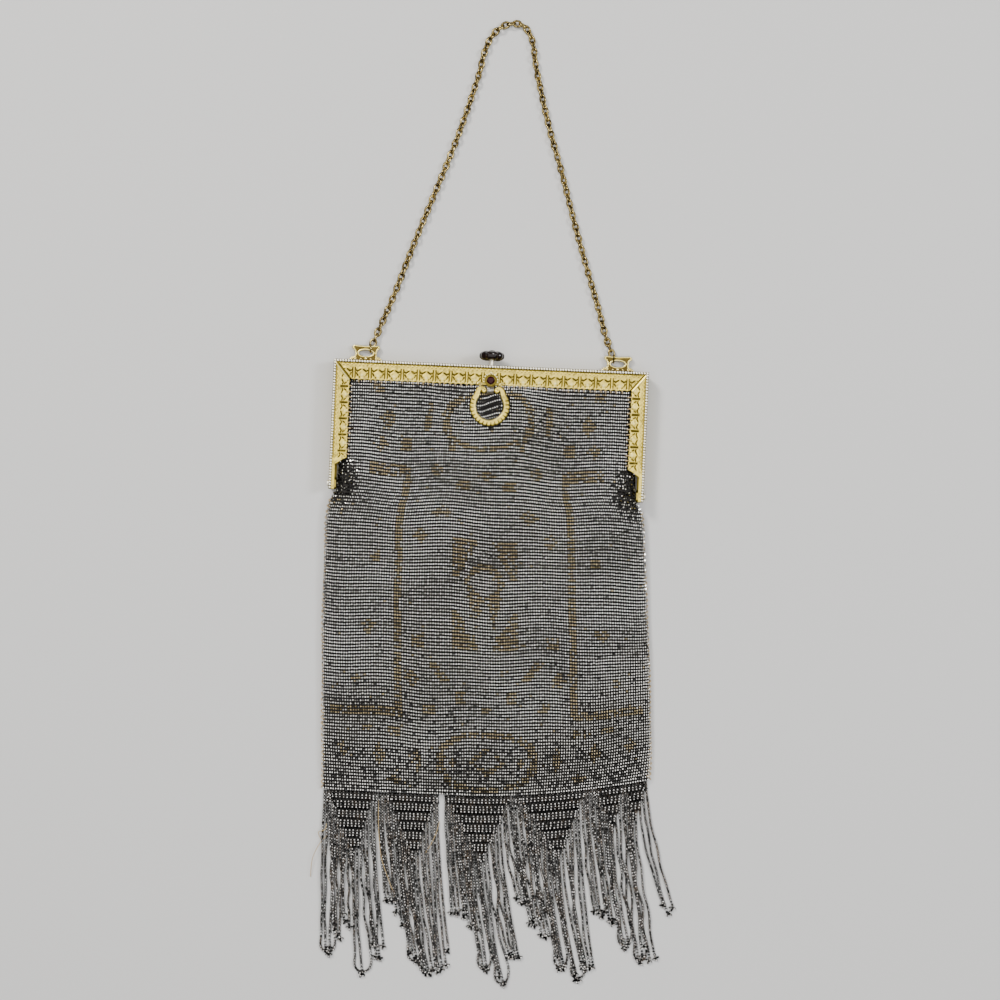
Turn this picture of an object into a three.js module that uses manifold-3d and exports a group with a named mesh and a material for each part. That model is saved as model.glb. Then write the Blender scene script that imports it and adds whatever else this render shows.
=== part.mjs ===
// A beaded evening purse lying on its back: a gilt stamped frame in two hinged halves, a hollow beaded
// pouch, a netted fringe, a fine chain handle, a push knob and a lifting ring pull with a red stone.
// Millimetres. +X runs along the frame's top bar, +Y towards the chain, +Z up from the surface it lies on.
// The origin is on the rear face, at the middle of the top bar.
import * as THREE from "three";
import { mergeVertices } from "three/addons/utils/BufferGeometryUtils.js";
import Module from "manifold-3d";

const wasm = await Module();
wasm.setup();

// Gap between pieces that touch on the real purse
const CLEARANCE = 0.3;
// How far a soldered piece sinks into the metal that carries it
const SOLDER = 0.4;

// Frame halves
const FRAME_WIDTH = 138;
const FRAME_DROP = 57;
const BAR_WIDTH = 8.4;
const ARM_WIDTH = 7;
const TIP_WIDTH = 2.4;
const TIP_LENGTH = 11;
const TIP_SHOULDER = 3;
const CORNER_RADIUS = 1.2;
const BACK_HEIGHT = 5;
const FRONT_HEIGHT = 4.6;
const SHEET = 0.8;
const RIM_WALL = 0.9;

// Stamped relief on the front half
const RELIEF = 0.4;
const PEARL_WIDTH = 1.1;
const PLAIN_BAND = 1.5;
const BAR_PANELS = 17;
const ARM_PANELS = 5;
const PANEL_PITCH = 7.06;
const RIB_WIDTH = 0.6;
const BOSS_RADIUS = 1.6;
const BOSS_SIDES = 8;

// Hinges at the ends of the arms
const LUG_RADIUS = 2.6;
const LUG_WIDTH = 1.4;
const HINGE_INSET = 2.5;
const PIN_RADIUS = 0.7;
const PIN_HEAD_RADIUS = 1.4;
const PIN_HEAD = 0.8;
const WEB_WIDTH = 3;

// Chain ears
const EAR_INSET = 13.2;
const EAR_BASE = 14.6;
const EAR_HEIGHT = 7;
const EAR_SHEET = 0.9;
const EAR_HOLE_WIDTH = 6.4;
const EAR_HOLE_HEIGHT = 2.9;
const EAR_HOLE_CENTRE = 3.65;

// Chain
const LINK_LENGTH = 4.3;
const LINK_WIDTH = 3.5;
const LINK_WIRE = 0.8;
const LINK_OFFSET = 2;
const LINK_STEPS = 14;
const LINK_SIDES = 6;
const CHAIN_SIDES = 8;
const CHAIN_STEPS = 74;
// The chain's way from the left ear round to the right ear, as x and y
const CHAIN_ROUTE = [
  [-51.1, 17.1], [-44.4, 34.5], [-36.8, 56.9], [-29.5, 77.2], [-21.4, 99.5], [-15.6, 117.9],
  [-11, 134.3], [-9.5, 142.1], [-6.9, 149.3], [-2.8, 154.3], [2.3, 156.4], [7.6, 155.7],
  [11.2, 150.6], [12.7, 144.9], [14.2, 136.4], [20.4, 112.8], [27.1, 92.1], [33.3, 71.4],
  [39.3, 52.5], [45.9, 32.8], [49.4, 21.4],
];

// Push knob
const KNOB_RADIUS = 5.5;
const KNOB_THICKNESS = 4;
const KNOB_LOBES = 10;
const KNOB_LOBE_DEPTH = 0.35;
const KNOB_BOSS_RADIUS = 2.1;
const KNOB_BORE_DEPTH = 1.9;
const STEM_RADIUS = 0.85;
const STEM_SHOWN = 2.25;
const STEM_INSIDE = 3.2;
const STEM_HEIGHT = 7.8;

// Catch inside the bar
const CATCH_LENGTH = 6;
const CATCH_WIDTH = 2.6;
const CATCH_HEIGHT = 5;
const CATCH_SHEET = 0.8;

// Ring pull, its mount and the stone
const RING_RADIUS = 8.5;
const RING_WIRE = 2.5;
const RING_DROP = 7.1;
const RING_STEPS = 22;
const RING_SIDES = 10;
const EYE_SPREAD = 3.4;
const EYE_RADIUS = 1.5;
const PULL_PIN_RADIUS = 0.5;
const PULL_PIN_DROP = 2.5;
const PULL_PIN_RISE = 1.4;
const KNUCKLE_RADIUS = 1.6;
const KNUCKLE_WIDTH = 3.1;
const MOUNT_WIDTH = 13;
const MOUNT_SHEET = 1.1;
const JEWEL_INSET = 6.8;
const JEWEL_RADIUS = 1.85;
const JEWEL_TABLE = 1.15;
const JEWEL_CROWN = 0.9;
const JEWEL_PAVILION = 0.7;
const JEWEL_FACETS = 8;
const BEZEL_WALL = 0.4;
const BEZEL_HEIGHT = 1;

// Pouch
const BAG_HALF_WIDTH = 68;
const BAG_LENGTH = 182.6;
const BAG_INSET = 0.5;
const BAG_WALL = 1.45;
const BAG_TUCK = 1.2;
const MOUTH_GAP = 0.7;
const BAG_SIDE_WALL = 2.2;
const HEM_RISE = 10;
const HEM_BEND = 1.6;
const CAVITY_END = 0.955;
const CROWN_POWER = 5;
const CROWN_ROUND = 0.455;
const ACROSS_STEPS = 18;
const RING_STEP = 9.2;

// Cross sections of the pouch between the frame's arms. along is a share of the way from the mouth to the
// arms' ends, left and right are shares of the half width between the hinges, top, seam and under are heights
// as shares of the pouch's thickness, and rise is a share of HEM_RISE.
const MOUTH_SECTIONS = [
  { along: 0, left: 1, right: 1, top: 0.925, seam: 0.53, under: 0.125, rise: 0 },
  { along: 0.059, left: 1, right: 1, top: 0.935, seam: 0.53, under: 0.125, rise: 0 },
  { along: 0.139, left: 1, right: 1, top: 0.95, seam: 0.52, under: 0, rise: 0 },
  { along: 0.513, left: 0.998, right: 0.998, top: 1, seam: 0.48, under: 0, rise: 0 },
  { along: 1.005, left: 0.998, right: 0.998, top: 0.98, seam: 0.4, under: 0, rise: 0 },
];

// Cross sections below the arms, in the same way, but along is a share of the way from the arms' ends to the
// hem, and left and right are shares of BAG_HALF_WIDTH.
const BODY_SECTIONS = [
  { along: 0.026, left: 1.004, right: 1.01, top: 0.97, seam: 0.34, under: 0, rise: 0 },
  { along: 0.106, left: 1.026, right: 1.032, top: 0.96, seam: 0.25, under: 0, rise: 0 },
  { along: 0.367, left: 1.02, right: 1.07, top: 0.94, seam: 0.2, under: 0, rise: 0.08 },
  { along: 0.491, left: 1.016, right: 1.094, top: 0.92, seam: 0.19, under: 0, rise: 0.2 },
  { along: 0.697, left: 0.998, right: 1.115, top: 0.85, seam: 0.18, under: 0, rise: 0.5 },
  { along: 0.849, left: 0.986, right: 1.135, top: 0.7, seam: 0.17, under: 0, rise: 0.78 },
  { along: 0.952, left: 0.98, right: 1.137, top: 0.48, seam: 0.16, under: 0, rise: 0.95 },
  { along: 1, left: 0.976, right: 1.134, top: 0.3, seam: 0.15, under: 0, rise: 1 },
];

// Soft folds on the front: a ridge, or a valley where height is negative, along a line. Places across are
// shares of BAG_HALF_WIDTH, places along and widths are shares of BAG_LENGTH, height is a share of the
// pouch's thickness.
const BAG_FOLDS = [
  { across: -0.12, along: 0.15, toAcross: -0.62, toAlong: 0.24, width: 0.035, height: -0.07 },
  { across: 0.16, along: 0.16, toAcross: 0.6, toAlong: 0.22, width: 0.035, height: -0.06 },
  { across: -0.93, along: 0.27, toAcross: -0.7, toAlong: 0.24, width: 0.025, height: 0.06 },
  { across: 0.93, along: 0.28, toAcross: 0.72, toAlong: 0.25, width: 0.025, height: 0.06 },
  { across: 1.1, along: 0.6, toAcross: 0.8, toAlong: 0.66, width: 0.02, height: -0.08 },
  { across: -1, along: 0.81, toAcross: -0.45, toAlong: 0.83, width: 0.03, height: -0.06 },
  { across: 1.08, along: 0.86, toAcross: 0.5, toAlong: 1, width: 0.035, height: 0.07 },
];

// Fringe
const FRINGE_LENGTH = 83.4;
const FRINGE_THICKNESS = 1.8;
const HEAD_WIDTH = 3;
const LOCK_STEPS = 5;
const ROOT_OVERLAP = 2;
// Net points of the fringe: left, apex and right are shares of the hem's width from its left corner, and
// depth is a share of FRINGE_LENGTH.
const NETS = [
  { left: 0.005, apex: 0.105, right: 0.16, depth: 0.37 },
  { left: 0.192, apex: 0.287, right: 0.356, depth: 0.38 },
  { left: 0.375, apex: 0.495, right: 0.585, depth: 0.385 },
  { left: 0.59, apex: 0.735, right: 0.812, depth: 0.38 },
  { left: 0.83, apex: 0.9, right: 0.925, depth: 0.265 },
  { left: 0.925, apex: 0.962, right: 0.998, depth: 0.25 },
];

// Locks of strands: root and tip are shares of the hem's width from its left corner, drop is how far the
// tip lies below the hem's level as a share of FRINGE_LENGTH, width and end are breadths as shares of it,
// and sway is a sideways bow as a share of it.
const LOCKS = [
  { root: 0.025, tip: 0.034, drop: 0.875, width: 0.042, end: 0.045, sway: 0.01 },
  { root: 0.055, tip: 0.065, drop: 0.8, width: 0.045, end: 0.034, sway: 0 },
  { root: 0.085, tip: 0.098, drop: 0.72, width: 0.05, end: 0.038, sway: 0.01 },
  { root: 0.112, tip: 0.145, drop: 0.97, width: 0.044, end: 0.052, sway: -0.02 },
  { root: 0.145, tip: 0.19, drop: 0.925, width: 0.045, end: 0.034, sway: 0.01 },
  { root: 0.18, tip: 0.222, drop: 0.61, width: 0.036, end: 0.032, sway: 0.01 },
  { root: 0.208, tip: 0.26, drop: 0.7, width: 0.048, end: 0.038, sway: 0 },
  { root: 0.238, tip: 0.302, drop: 0.9, width: 0.05, end: 0.04, sway: 0 },
  { root: 0.287, tip: 0.345, drop: 0.96, width: 0.046, end: 0.05, sway: -0.01 },
  { root: 0.33, tip: 0.385, drop: 0.95, width: 0.03, end: 0.034, sway: 0.01 },
  { root: 0.36, tip: 0.408, drop: 0.83, width: 0.028, end: 0.03, sway: 0.01 },
  { root: 0.392, tip: 0.43, drop: 0.645, width: 0.05, end: 0.038, sway: 0 },
  { root: 0.425, tip: 0.475, drop: 0.74, width: 0.05, end: 0.038, sway: 0 },
  { root: 0.46, tip: 0.52, drop: 0.93, width: 0.051, end: 0.04, sway: 0 },
  { root: 0.5, tip: 0.575, drop: 1, width: 0.053, end: 0.043, sway: 0 },
  { root: 0.54, tip: 0.61, drop: 0.87, width: 0.034, end: 0.03, sway: 0.01 },
  { root: 0.572, tip: 0.63, drop: 0.575, width: 0.05, end: 0.038, sway: 0 },
  { root: 0.61, tip: 0.675, drop: 0.68, width: 0.05, end: 0.04, sway: 0 },
  { root: 0.65, tip: 0.71, drop: 0.74, width: 0.048, end: 0.038, sway: 0 },
  { root: 0.69, tip: 0.755, drop: 0.9, width: 0.05, end: 0.04, sway: 0 },
  { root: 0.735, tip: 0.81, drop: 0.955, width: 0.053, end: 0.044, sway: 0 },
  { root: 0.78, tip: 0.84, drop: 0.93, width: 0.036, end: 0.034, sway: 0.01 },
  { root: 0.81, tip: 0.868, drop: 0.63, width: 0.036, end: 0.034, sway: 0 },
  { root: 0.85, tip: 0.905, drop: 0.66, width: 0.05, end: 0.04, sway: 0 },
  { root: 0.89, tip: 0.95, drop: 0.77, width: 0.05, end: 0.042, sway: 0 },
  { root: 0.93, tip: 1, drop: 0.85, width: 0.04, end: 0.038, sway: 0.01 },
  { root: 0.962, tip: 1.03, drop: 0.83, width: 0.036, end: 0.034, sway: 0.02 },
  { root: 0.988, tip: 1.078, drop: 0.58, width: 0.032, end: 0.034, sway: 0.02 },
];

// Levels and places that follow from the sizes above
const TOP = BAR_WIDTH / 2;
const HALF = FRAME_WIDTH / 2;
const ARM_END = TOP - FRAME_DROP;
const BAR_INNER = TOP - BAR_WIDTH;
const FRONT_BASE = BACK_HEIGHT + CLEARANCE;
const FRONT_TOP = FRONT_BASE + FRONT_HEIGHT;
const HINGE_Y = ARM_END + HINGE_INSET;
const HINGE_Z = BACK_HEIGHT + CLEARANCE / 2;
const PULL_PIN_Y = BAR_INNER - PULL_PIN_DROP;
const PULL_PIN_Z = FRONT_TOP + PULL_PIN_RISE;
const RING_Y = PULL_PIN_Y - RING_DROP;
const MOUNT_TOP = FRONT_TOP + MOUNT_SHEET;
const JEWEL_Y = TOP - JEWEL_INSET;
const EAR_OFFSET = HALF - EAR_INSET;
const BAG_TOP = BAR_INNER + BAG_TUCK;
const BAG_THICKNESS = FRONT_TOP - BAG_INSET;
const MOUTH_DEPTH = BAG_TOP - ARM_END;
const MOUTH_HALF = HALF - 2 * LUG_WIDTH - CLEARANCE - MOUTH_GAP;
const LINK_Z = LINK_WIDTH / 2;
const EAR_Z = LINK_Z - EAR_SHEET / 2;

// A closed geometry as a solid
function solid(geometry) {
  const bare = geometry.clone();
  bare.deleteAttribute("normal");
  bare.deleteAttribute("uv");
  const merged = mergeVertices(bare, 1e-4);
  return new wasm.Manifold(
    new wasm.Mesh({
      numProp: 3,
      vertProperties: new Float32Array(merged.attributes.position.array),
      triVerts: new Uint32Array(merged.index.array),
    }),
  );
}

// A solid's vertices and faces as a geometry with flat normals
function geometryOf(shape) {
  const { vertProperties, triVerts } = shape.getMesh();
  const geometry = new THREE.BufferGeometry()
    .setAttribute("position", new THREE.BufferAttribute(new Float32Array(vertProperties), 3))
    .setIndex(new THREE.BufferAttribute(new Uint32Array(triVerts), 1));
  geometry.computeVertexNormals();
  return geometry;
}

function joined(pieces) {
  return pieces.map(solid).reduce((sum, piece) => sum.add(piece));
}

function cut(body, tools) {
  return tools.reduce((rest, tool) => rest.subtract(solid(tool)), body);
}

// A flat outline given thickness from one height to another
function plate(shape, low, high, curveSegments = 8) {
  const settings = { depth: high - low, bevelEnabled: false, curveSegments };
  return new THREE.ExtrudeGeometry(shape, settings).translate(0, 0, low);
}

function block(x0, x1, y0, y1, z0, z1) {
  return new THREE.BoxGeometry(x1 - x0, y1 - y0, z1 - z0)
    .translate((x0 + x1) / 2, (y0 + y1) / 2, (z0 + z1) / 2);
}

// A cylinder along X, from x0 to x1, about a line at y and z
function rodX(x0, x1, radius, y, z, sides = 16) {
  return new THREE.CylinderGeometry(radius, radius, Math.abs(x1 - x0), sides)
    .rotateZ(Math.PI / 2)
    .translate((x0 + x1) / 2, y, z);
}

// A cylinder along Y, from y0 to y1, about a line at x and z
function rodY(y0, y1, radius, x, z, sides = 16) {
  return new THREE.CylinderGeometry(radius, radius, y1 - y0, sides)
    .translate(x, (y0 + y1) / 2, z);
}

// A cylinder or cone along Z
function rodZ(z0, z1, radiusLow, radiusHigh, x, y, sides = 16) {
  return new THREE.CylinderGeometry(radiusHigh, radiusLow, z1 - z0, sides)
    .rotateX(Math.PI / 2)
    .translate(x, y, (z0 + z1) / 2);
}

// A skin over rings of points, each ring with the same even count, closed at both ends. Each ring runs from
// its left point over the top to its right point and back underneath, and each end is a strip between the
// upper and the lower points.
function skin(rings) {
  const count = rings[0].length;
  const half = count / 2;
  const at = (ring, j) => ring * count + (j % count);
  const faces = [];
  for (let k = 0; k + 1 < rings.length; k++) {
    for (let j = 0; j < count; j++) {
      faces.push(at(k, j), at(k + 1, j), at(k + 1, j + 1));
      faces.push(at(k, j), at(k + 1, j + 1), at(k, j + 1));
    }
  }
  const last = rings.length - 1;
  for (let j = 0; j < half; j++) {
    const under = count - j;
    if (j < half - 1) {
      faces.push(at(0, j), at(0, j + 1), at(0, under - 1));
      faces.push(at(last, j), at(last, under - 1), at(last, j + 1));
    }
    if (j > 0) {
      faces.push(at(0, j), at(0, under - 1), at(0, under));
      faces.push(at(last, j), at(last, under), at(last, under - 1));
    }
  }
  const places = rings.flat().flatMap((p) => [p.x, p.y, p.z]);
  return new THREE.BufferGeometry()
    .setAttribute("position", new THREE.Float32BufferAttribute(places, 3))
    .setIndex(faces);
}

// An even section of a wire or cord
function circle(radius, sides) {
  const points = [];
  for (let i = 0; i < sides; i++) {
    const turn = ((i + 0.5) / sides) * 2 * Math.PI;
    points.push(new THREE.Vector2(radius * Math.cos(turn), radius * Math.sin(turn)));
  }
  return new THREE.Shape(points);
}

// Frame

// The frame's outline: a bar with an arm at each end, each arm narrowing to a tip
function frameShape(bar, arm, tip) {
  const inner = TOP - bar;
  const shoulder = ARM_END + TIP_LENGTH;
  const slope = arm > tip ? TIP_SHOULDER : 0;
  const shape = new THREE.Shape();
  shape.moveTo(-HALF, ARM_END);
  shape.lineTo(-HALF + tip, ARM_END);
  shape.lineTo(-HALF + tip, shoulder);
  if (slope) shape.lineTo(-HALF + arm, shoulder + slope);
  shape.lineTo(-HALF + arm, inner);
  shape.lineTo(HALF - arm, inner);
  if (slope) shape.lineTo(HALF - arm, shoulder + slope);
  shape.lineTo(HALF - tip, shoulder);
  shape.lineTo(HALF - tip, ARM_END);
  shape.lineTo(HALF, ARM_END);
  shape.lineTo(HALF, TOP - CORNER_RADIUS);
  shape.absarc(HALF - CORNER_RADIUS, TOP - CORNER_RADIUS, CORNER_RADIUS, 0, Math.PI / 2);
  shape.lineTo(-HALF + CORNER_RADIUS, TOP);
  shape.absarc(-HALF + CORNER_RADIUS, TOP - CORNER_RADIUS, CORNER_RADIUS, Math.PI / 2, Math.PI);
  return shape;
}

const sheetShape = () => frameShape(BAR_WIDTH, ARM_WIDTH, TIP_WIDTH);
const rimShape = () => frameShape(RIM_WALL, RIM_WALL, RIM_WALL);
const pearlShape = () => frameShape(PEARL_WIDTH, PEARL_WIDTH, PEARL_WIDTH);
const CURVE = 3;

// Where each end's lugs lie along X: the rear half's outside, the front half's inside it
function lugSpans(side) {
  const outer = side * HALF;
  const split = side * (HALF - LUG_WIDTH);
  const inner = side * (HALF - LUG_WIDTH - CLEARANCE);
  return { outer, split, inner, end: inner - side * LUG_WIDTH };
}

function hingeBore(side) {
  const { outer, end } = lugSpans(side);
  return rodX(outer + side, end - side, PIN_RADIUS + CLEARANCE, HINGE_Y, HINGE_Z);
}

// A stamped ear: wide foot, narrow waist, two horns and an eye for the chain
function earShape() {
  const base = EAR_BASE / 2;
  const waist = base * 0.64;
  const horn = base * 0.86;
  const shape = new THREE.Shape();
  shape.moveTo(-base, -SOLDER);
  shape.lineTo(base, -SOLDER);
  shape.lineTo(base, EAR_HEIGHT * 0.1);
  shape.quadraticCurveTo(waist, EAR_HEIGHT * 0.16, waist, EAR_HEIGHT * 0.42);
  shape.quadraticCurveTo(waist, EAR_HEIGHT * 0.78, horn, EAR_HEIGHT * 0.86);
  shape.lineTo(horn * 0.9, EAR_HEIGHT);
  shape.quadraticCurveTo(0, EAR_HEIGHT * 0.95, -horn * 0.9, EAR_HEIGHT);
  shape.lineTo(-horn, EAR_HEIGHT * 0.86);
  shape.quadraticCurveTo(-waist, EAR_HEIGHT * 0.78, -waist, EAR_HEIGHT * 0.42);
  shape.quadraticCurveTo(-waist, EAR_HEIGHT * 0.16, -base, EAR_HEIGHT * 0.1);
  const eye = new THREE.Path();
  eye.absellipse(0, EAR_HOLE_CENTRE, EAR_HOLE_WIDTH / 2, EAR_HOLE_HEIGHT / 2, 0, 2 * Math.PI, true);
  shape.holes.push(eye);
  return shape;
}

function ear(side) {
  return plate(earShape(), EAR_Z, EAR_Z + EAR_SHEET, 5).translate(side * EAR_OFFSET, TOP, 0);
}

function frameBack() {
  const pieces = [plate(sheetShape(), 0, SHEET, CURVE), plate(rimShape(), 0, BACK_HEIGHT, CURVE)];
  for (const side of [-1, 1]) {
    const { outer, split } = lugSpans(side);
    pieces.push(rodX(outer, split, LUG_RADIUS, HINGE_Y, HINGE_Z));
    pieces.push(ear(side));
  }
  return cut(joined(pieces), [-1, 1].map(hingeBore));
}

// The panels' ribs and bosses along the bar, then down each arm
function panels() {
  const low = FRONT_TOP - RELIEF / 2;
  const high = FRONT_TOP + RELIEF;
  const outer = PEARL_WIDTH + PLAIN_BAND;
  const pieces = [];
  const barMiddle = TOP - (outer + BAR_WIDTH) / 2;
  const barHalf = (BAR_WIDTH - outer) / 2 - RIB_WIDTH / 2;
  const start = (-BAR_PANELS * PANEL_PITCH) / 2;
  for (let i = 0; i <= BAR_PANELS; i++) {
    const x = start + i * PANEL_PITCH;
    const [y0, y1] = [barMiddle - barHalf, barMiddle + barHalf];
    pieces.push(block(x - RIB_WIDTH / 2, x + RIB_WIDTH / 2, y0, y1, low, high));
    if (i < BAR_PANELS)
      pieces.push(boss(x + PANEL_PITCH / 2, barMiddle, low, high));
  }
  const armHalf = (ARM_WIDTH - outer) / 2 - RIB_WIDTH / 2;
  for (const side of [-1, 1]) {
    const x = side * (HALF - (outer + ARM_WIDTH) / 2);
    for (let i = 0; i <= ARM_PANELS; i++) {
      const y = BAR_INNER - RIB_WIDTH - i * PANEL_PITCH;
      pieces.push(block(x - armHalf, x + armHalf, y - RIB_WIDTH / 2, y + RIB_WIDTH / 2, low, high));
      if (i < ARM_PANELS) pieces.push(boss(x, y - PANEL_PITCH / 2, low, high));
    }
  }
  return pieces;
}

function boss(x, y, low, high) {
  return rodZ(low, high, BOSS_RADIUS, BOSS_RADIUS * 0.6, x, y, BOSS_SIDES);
}

// Two raised lines that run from the outer to the inner corner where bar and arm meet
function mitre(side) {
  const outer = new THREE.Vector2(side * (HALF - PEARL_WIDTH), TOP - PEARL_WIDTH);
  const inner = new THREE.Vector2(side * (HALF - ARM_WIDTH), BAR_INNER);
  const run = inner.clone().sub(outer);
  const turn = Math.atan2(run.y, run.x);
  const middle = outer.clone().add(inner).multiplyScalar(0.5);
  return [-1, 1].map((way) =>
    new THREE.BoxGeometry(run.length() - RIB_WIDTH, RIB_WIDTH / 2, RELIEF * 1.5)
      .translate(0, way * RIB_WIDTH * 0.6, FRONT_TOP + RELIEF / 4)
      .rotateZ(turn)
      .translate(middle.x, middle.y, 0),
  );
}

// The little pediment that carries the stone and the ring: a point at the top, shoulders, and a tongue
function mountShape() {
  const half = MOUNT_WIDTH / 2;
  const bezel = JEWEL_RADIUS + CLEARANCE + BEZEL_WALL;
  const shoulder = JEWEL_Y - bezel * 0.4;
  const foot = BAR_INNER - SOLDER;
  const shape = new THREE.Shape();
  shape.moveTo(0, JEWEL_Y + bezel * 1.5);
  shape.quadraticCurveTo(bezel * 0.3, JEWEL_Y + bezel * 1.1, bezel * 1.1, JEWEL_Y + bezel * 0.5);
  shape.quadraticCurveTo(bezel * 1.2, shoulder, half * 0.8, shoulder);
  shape.lineTo(half, shoulder - SOLDER);
  shape.lineTo(half * 0.92, foot);
  shape.lineTo(KNUCKLE_WIDTH / 2, foot);
  shape.lineTo(KNUCKLE_WIDTH / 2, PULL_PIN_Y);
  shape.lineTo(-KNUCKLE_WIDTH / 2, PULL_PIN_Y);
  shape.lineTo(-KNUCKLE_WIDTH / 2, foot);
  shape.lineTo(-half * 0.92, foot);
  shape.lineTo(-half, shoulder - SOLDER);
  shape.lineTo(-half * 0.8, shoulder);
  shape.quadraticCurveTo(-bezel * 1.2, shoulder, -bezel * 1.1, JEWEL_Y + bezel * 0.5);
  shape.quadraticCurveTo(-bezel * 0.3, JEWEL_Y + bezel * 1.1, 0, JEWEL_Y + bezel * 1.5);
  return shape;
}

function jewelMount() {
  const inner = JEWEL_RADIUS + CLEARANCE;
  const outer = inner + BEZEL_WALL;
  const low = MOUNT_TOP - SHEET / 4;
  const high = MOUNT_TOP + BEZEL_HEIGHT;
  const wall = [[inner, low], [outer, low], [outer, high], [inner, high], [inner, low]];
  const bezel = new THREE.LatheGeometry(wall.map(([r, z]) => new THREE.Vector2(r, z)), 16)
    .rotateX(Math.PI / 2)
    .translate(0, JEWEL_Y, 0);
  const half = KNUCKLE_WIDTH / 2;
  return [
    plate(mountShape(), FRONT_TOP - SHEET / 4, MOUNT_TOP, 3),
    bezel,
    rodX(-half, half, KNUCKLE_RADIUS, PULL_PIN_Y, PULL_PIN_Z, 12),
  ];
}

// The web that carries the front half's lug from its sheet, inside the rear half's lug
function frontLug(side) {
  const { inner, end } = lugSpans(side);
  const [x0, x1] = [Math.min(inner, end), Math.max(inner, end)];
  const web = WEB_WIDTH / 2;
  return [
    rodX(inner, end, LUG_RADIUS, HINGE_Y, HINGE_Z),
    block(x0, x1, HINGE_Y - web, HINGE_Y + web, HINGE_Z + PIN_RADIUS + CLEARANCE, FRONT_TOP - SHEET / 2),
  ];
}

function frameFront() {
  const pieces = [
    plate(sheetShape(), FRONT_TOP - SHEET, FRONT_TOP, CURVE),
    plate(rimShape(), FRONT_BASE, FRONT_TOP, CURVE),
    plate(pearlShape(), FRONT_TOP - RELIEF / 2, FRONT_TOP + RELIEF, CURVE),
    ...panels(),
    ...jewelMount(),
  ];
  const tools = [
    rodY(TOP - 2 * RIM_WALL, TOP + RIM_WALL, STEM_RADIUS + CLEARANCE, 0, STEM_HEIGHT, 12),
    rodX(-KNUCKLE_WIDTH, KNUCKLE_WIDTH, PULL_PIN_RADIUS + CLEARANCE, PULL_PIN_Y, PULL_PIN_Z, 12),
  ];
  const lugs = [];
  for (const side of [-1, 1]) {
    const { outer, split } = lugSpans(side);
    pieces.push(...mitre(side));
    tools.push(rodX(outer + side, split - side * CLEARANCE, LUG_RADIUS + CLEARANCE, HINGE_Y, HINGE_Z));
    lugs.push(...frontLug(side));
  }
  const body = cut(joined(pieces), tools).add(joined(lugs.slice(0, 2))).add(joined(lugs.slice(2)));
  return cut(body, [-1, 1].map(hingeBore));
}

// A pin along X with a low head outside the rear half's lug
function hingePin(side) {
  const { outer, end } = lugSpans(side);
  const head = outer + side * CLEARANCE;
  return joined([
    rodX(head + side * PIN_HEAD, head, PIN_HEAD_RADIUS, HINGE_Y, HINGE_Z, 12),
    rodX(head + side * PIN_HEAD / 2, end, PIN_RADIUS, HINGE_Y, HINGE_Z, 12),
  ]);
}

// Clasp

// A lobed button with rounded edges, its face towards +Y, drilled behind for the stem
function pushKnob() {
  const points = [];
  const count = KNOB_LOBES * 4;
  const edge = KNOB_THICKNESS * 0.28;
  for (let i = 0; i < count; i++) {
    const turn = (i / count) * 2 * Math.PI;
    const radius = KNOB_RADIUS - edge - KNOB_LOBE_DEPTH + KNOB_LOBE_DEPTH * Math.cos(KNOB_LOBES * turn);
    points.push(new THREE.Vector2(radius * Math.cos(turn), radius * Math.sin(turn)));
  }
  const settings = {
    depth: KNOB_THICKNESS - 2 * edge,
    bevelThickness: edge,
    bevelSize: edge,
    bevelSegments: 2,
  };
  const back = TOP + STEM_SHOWN;
  const button = new THREE.ExtrudeGeometry(new THREE.Shape(points), settings)
    .rotateX(-Math.PI / 2)
    .translate(0, back + edge, STEM_HEIGHT);
  const foot = rodY(back, back + KNOB_THICKNESS / 2, KNOB_BOSS_RADIUS, 0, STEM_HEIGHT);
  const bore = rodY(back - edge, back + KNOB_BORE_DEPTH, STEM_RADIUS + CLEARANCE, 0, STEM_HEIGHT, 12);
  return cut(joined([button, foot]), [bore]);
}

function knobStem() {
  const end = TOP + STEM_SHOWN + KNOB_BORE_DEPTH - CLEARANCE;
  return solid(rodY(TOP - STEM_INSIDE, end, STEM_RADIUS, 0, STEM_HEIGHT, 12));
}

function catchTongue() {
  const half = CATCH_LENGTH / 2;
  const base = SHEET + CLEARANCE;
  const y0 = BAG_TOP + 2 * CLEARANCE;
  const y1 = y0 + CATCH_WIDTH;
  return joined([
    block(-half, half, y0, y1, base, base + CATCH_SHEET),
    block(-half, half, y1 - CATCH_SHEET, y1, base, base + CATCH_HEIGHT),
    block(-half, half, y0 + CATCH_SHEET, y1, base + CATCH_HEIGHT - CATCH_SHEET, base + CATCH_HEIGHT),
  ]);
}

// Ring pull

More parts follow.
